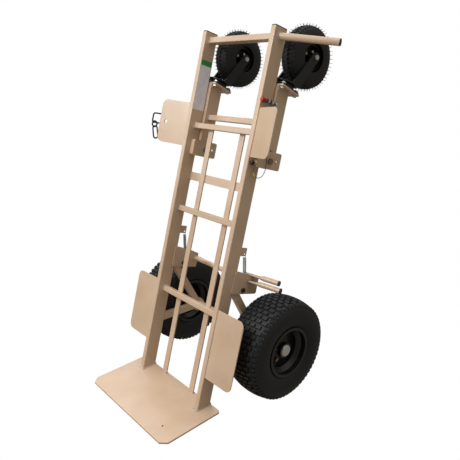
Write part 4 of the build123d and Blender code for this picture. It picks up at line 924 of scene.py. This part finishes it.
def add_toe_bar(bars, plugs, level):
    """Adds one toe bar's skin and the plug in its end."""
    start, end = toe_bar_ends(level == "upper")
    loops = []
    for far, high, wide in toe_rings(TOE_FLAT_LENGTH[level], (end - start).length):
        place = LEANED @ Matrix.Translation(start + toe_along * far) @ toe_axes.to_4x4()
        ring = bmesh.ops.create_circle(bars, segments=TOE_SIDES, radius=1,
                                       matrix=place @ Matrix.Diagonal((high, wide, 1, 1)))
        loops.append({edge for vert in ring["verts"] for edge in vert.link_edges})
    for one, two in zip(loops, loops[1:]):
        bmesh.ops.bridge_loops(bars, edges=list(one | two))
    rod(plugs, LEANED @ end, LEANED @ (end + toe_along * TOE_PLUG[1]), TOE_PLUG[0], sides=TOE_SIDES)


bars, plugs = bmesh.new(), bmesh.new()
for level in TOE_FLAT_LENGTH:
    add_toe_bar(bars, plugs, level)
bmesh.ops.recalc_face_normals(bars, faces=bars.faces)
toe_skin = add_piece("pressed_toe_bars", bars, "foot_lever", 50)
paint(toe_skin, tan_coat)
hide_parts("toe_bars")
toe_plugs = add_piece("toe_end_plugs", plugs, "foot_lever", 40)
paint(toe_plugs, black_plastic)
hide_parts("toe_bar_plugs")
print("toe bar faces:", len(toe_skin.data.polygons))

# %% [markdown]
# The strap loop behind the left wing is thicker and longer in use than the plain wire of the assembly, and
# its hook hangs at the far end. Both are copies of their solids: the loop's end is drawn out sideways, the
# hook slides along the line that it swings about and the wire is thickened along its normals.

# %% Strap loop and hook
LOOP_LONGER = 15 * MM
HOOK_ALONG = 17 * MM
WIRE_MORE = 0.5 * MM

loop_low, loop_high = upright_box("strap_loop")
loop_out = Vector((-1, 0, 0))
loop_half = (loop_high.x - loop_low.x) / 2


def drawn_copy(node, further, beyond):
    """A thicker copy of a wire solid with what lies beyond this upright x moved outward."""
    form = bmesh.new()
    form.from_mesh(nodes[node].data)
    bmesh.ops.remove_doubles(form, verts=form.verts, dist=0.001 * MM)
    form.normal_update()
    for vert in form.verts:
        step = loop_out * further if (UPRIGHT @ vert.co).x < beyond else Vector()
        vert.co += LEANED.to_3x3() @ step + vert.normal * WIRE_MORE
    return form


drawn = {"strap_loop": (LOOP_LONGER, loop_low.x + loop_half), "snap_hook": (HOOK_ALONG, 0)}
for node, (further, beyond) in drawn.items():
    form = drawn_copy(node, further, beyond)
    piece = add_piece(node + "_wire", form, nodes[node]["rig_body"])
    paint(piece, dipped_wire)
    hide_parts(node)
print("strap loop drawn out by:", LOOP_LONGER / MM, "mm")

# %% [markdown]
# Small fittings finish the latches and the lanyard: nuts on the latch barrel, a red cap on its knob, a flat
# lug on a short dark link and a yellow sleeve on the cable's loop. They are bars and boxes, and the sleeve
# is a wider wire along one bend of the cable.

# %% Fittings of the latches
BARREL_NUT_RADIUS = 9.6 * MM
BARREL_NUTS = (1, 22)
NUT_LENGTH = 9
CAP_RADIUS = 8 * MM
CAP_LENGTH = 24
CAP_OVER = 1
CAP_EASE = 2.5 * MM
LINK_RADIUS = 1.7 * MM
LINK_INSET = 4
LINK_DROP = 3
LINK_END = (240, 78, 1304)
FLAT_LUG = ((238.3, 73, 1290), (242.3, 89, 1313))
FLAT_LUG_EASE = 0.8 * MM
SLEEVE_DIAMETER = 6.6 * MM
SLEEVE_BEND = 11

housing_low, housing_high = box_in_mm("stow_latch_housing")
plunger_low, plunger_high = box_in_mm("stow_plunger")
latch_x = (plunger_low.x + plunger_high.x) / 2
latch_z = (plunger_low.z + plunger_high.z) / 2


def soft_edges(form, offset):
    """Rounds every edge of a small fitting."""
    bmesh.ops.bevel(form, geom=form.edges, offset=offset, segments=2, profile=0.5, affect="EDGES",
                    material=-1, clamp_overlap=True)


form = bmesh.new()
for y in BARREL_NUTS:
    rod(form, upright(latch_x, housing_low.y + y, latch_z),
        upright(latch_x, housing_low.y + y + NUT_LENGTH, latch_z), BARREL_NUT_RADIUS, sides=6)
barrel_nuts = add_piece("latch_barrel_nuts", form, "frame", 30)
paint(barrel_nuts, black_oxide)

form = bmesh.new()
rod(form, upright(latch_x, plunger_low.y - CAP_OVER, latch_z),
    upright(latch_x, plunger_low.y + CAP_LENGTH, latch_z), CAP_RADIUS)
soft_edges(form, CAP_EASE)
cap = add_piece("stow_knob_cap", form, nodes["stow_plunger"]["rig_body"], 50)
paint(cap, red_vinyl)

form = bmesh.new()
rod(form, upright(latch_x, housing_high.y - LINK_INSET, latch_z - LINK_DROP), upright(*LINK_END), LINK_RADIUS,
    sides=8)
link = add_piece("lanyard_link", form, "frame", 50)
paint(link, cable_jacket)

form = bmesh.new()
slab(form, *FLAT_LUG)
soft_edges(form, FLAT_LUG_EASE)
lug = add_piece("lanyard_lug", form, "frame", 30)
paint(lug, zinc_steel)

before, bend, after = lanyard_points[SLEEVE_BEND - 1:SLEEVE_BEND + 2]
form = wire([(before + bend) / 2, bend, (bend + after) / 2], SLEEVE_DIAMETER, 3, 6)
sleeve = add_piece("lanyard_sleeve", form, "frame", 40)
paint(sleeve, yellow_vinyl)
print("latch fittings: 5, latch at", round(latch_x, 1), round(latch_z, 1))

# %% [markdown]
# Each small wheel's steel disc is held to its hub by four nuts, and each big wheel has a valve with a brass
# tip. A blank panel in two plain colours lies on the left rail's inner face.

# %% Wheel nuts, valves and blank panel
NUT_CIRCLE = 29 * MM
NUT_RADIUS = 6.5 * MM
NUT_TALL = 6 * MM
NUT_SEAT = 14 * MM
NUT_COUNT = 4
NUT_TURN = math.radians(142)
VALVE_OUT = 45 * MM
VALVE_WAY = Vector((0, -0.74, -0.67))
VALVE_FAR = (84 * MM, 60 * MM, 45 * MM)
VALVE_RADIUS = 6 * MM
VALVE_TAPER = 0.75
VALVE_TIP = 0.7
PANEL_LOW, PANEL_HIGH, PANEL_BAND = 1253, 1473, 1450
PANEL_X = (-200.2, -199.6)
PANEL_Y = (4, 64)

for side in SIDE:
    axle_low, axle_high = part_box("caster_axle_" + side)
    hub = (axle_low + axle_high) / 2
    form = bmesh.new()
    for way in SIDE.values():
        for i in range(NUT_COUNT):
            turn = NUT_TURN + math.tau * i / NUT_COUNT
            foot = hub + Vector((way * NUT_SEAT, NUT_CIRCLE * math.cos(turn), NUT_CIRCLE * math.sin(turn)))
            rod(form, foot, foot + Vector((way * NUT_TALL, 0, 0)), NUT_RADIUS, sides=6)
    nuts = add_piece("hub_nuts_" + side, form, "caster_wheel_" + side, 30)
    paint(nuts, zinc_steel)

for side, sign in SIDE.items():
    tyre_low, tyre_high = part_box("tyre_" + side)
    wheel_centre = (tyre_low + tyre_high) / 2
    dish = wheel_centre + Vector((sign * VALVE_OUT, 0, 0))
    seat, collar, tip = (dish + far * VALVE_WAY for far in VALVE_FAR)
    form = bmesh.new()
    rod(form, seat, collar, VALVE_RADIUS, VALVE_RADIUS * VALVE_TAPER)
    stem = add_piece("valve_stem_" + side, form, "wheel_" + side, 50)
    paint(stem, tyre_rubber)
    form = bmesh.new()
    rod(form, collar, tip, VALVE_RADIUS * VALVE_TIP)
    valve_tip = add_piece("valve_tip_" + side, form, "wheel_" + side, 50)
    paint(valve_tip, turned_brass)

form = bmesh.new()
slab(form, (PANEL_X[0], PANEL_Y[0], PANEL_LOW), (PANEL_X[1], PANEL_Y[1], PANEL_BAND))
panel = add_piece("blank_panel", form, "frame", 30)
panel_film = satin_paint("pale_printed_film", "#EDEEFB", "#E0E2F4", 0.35, 0.5, 30)
paint(panel, panel_film)
form = bmesh.new()
slab(form, (PANEL_X[0], PANEL_Y[0], PANEL_BAND), (PANEL_X[1], PANEL_Y[1], PANEL_HIGH))
band = add_piece("blank_panel_band", form, "frame", 30)
band_film = satin_paint("green_printed_film", "#2F9B57", "#278A4C", 0.35, 0.5, 30)
paint(band, band_film)
print("nuts on both sides of each small wheel:", NUT_COUNT)

# %% [markdown]
# At the end the view layer is brought up to date.

# %% Update the view layer
bpy.context.view_layer.update()
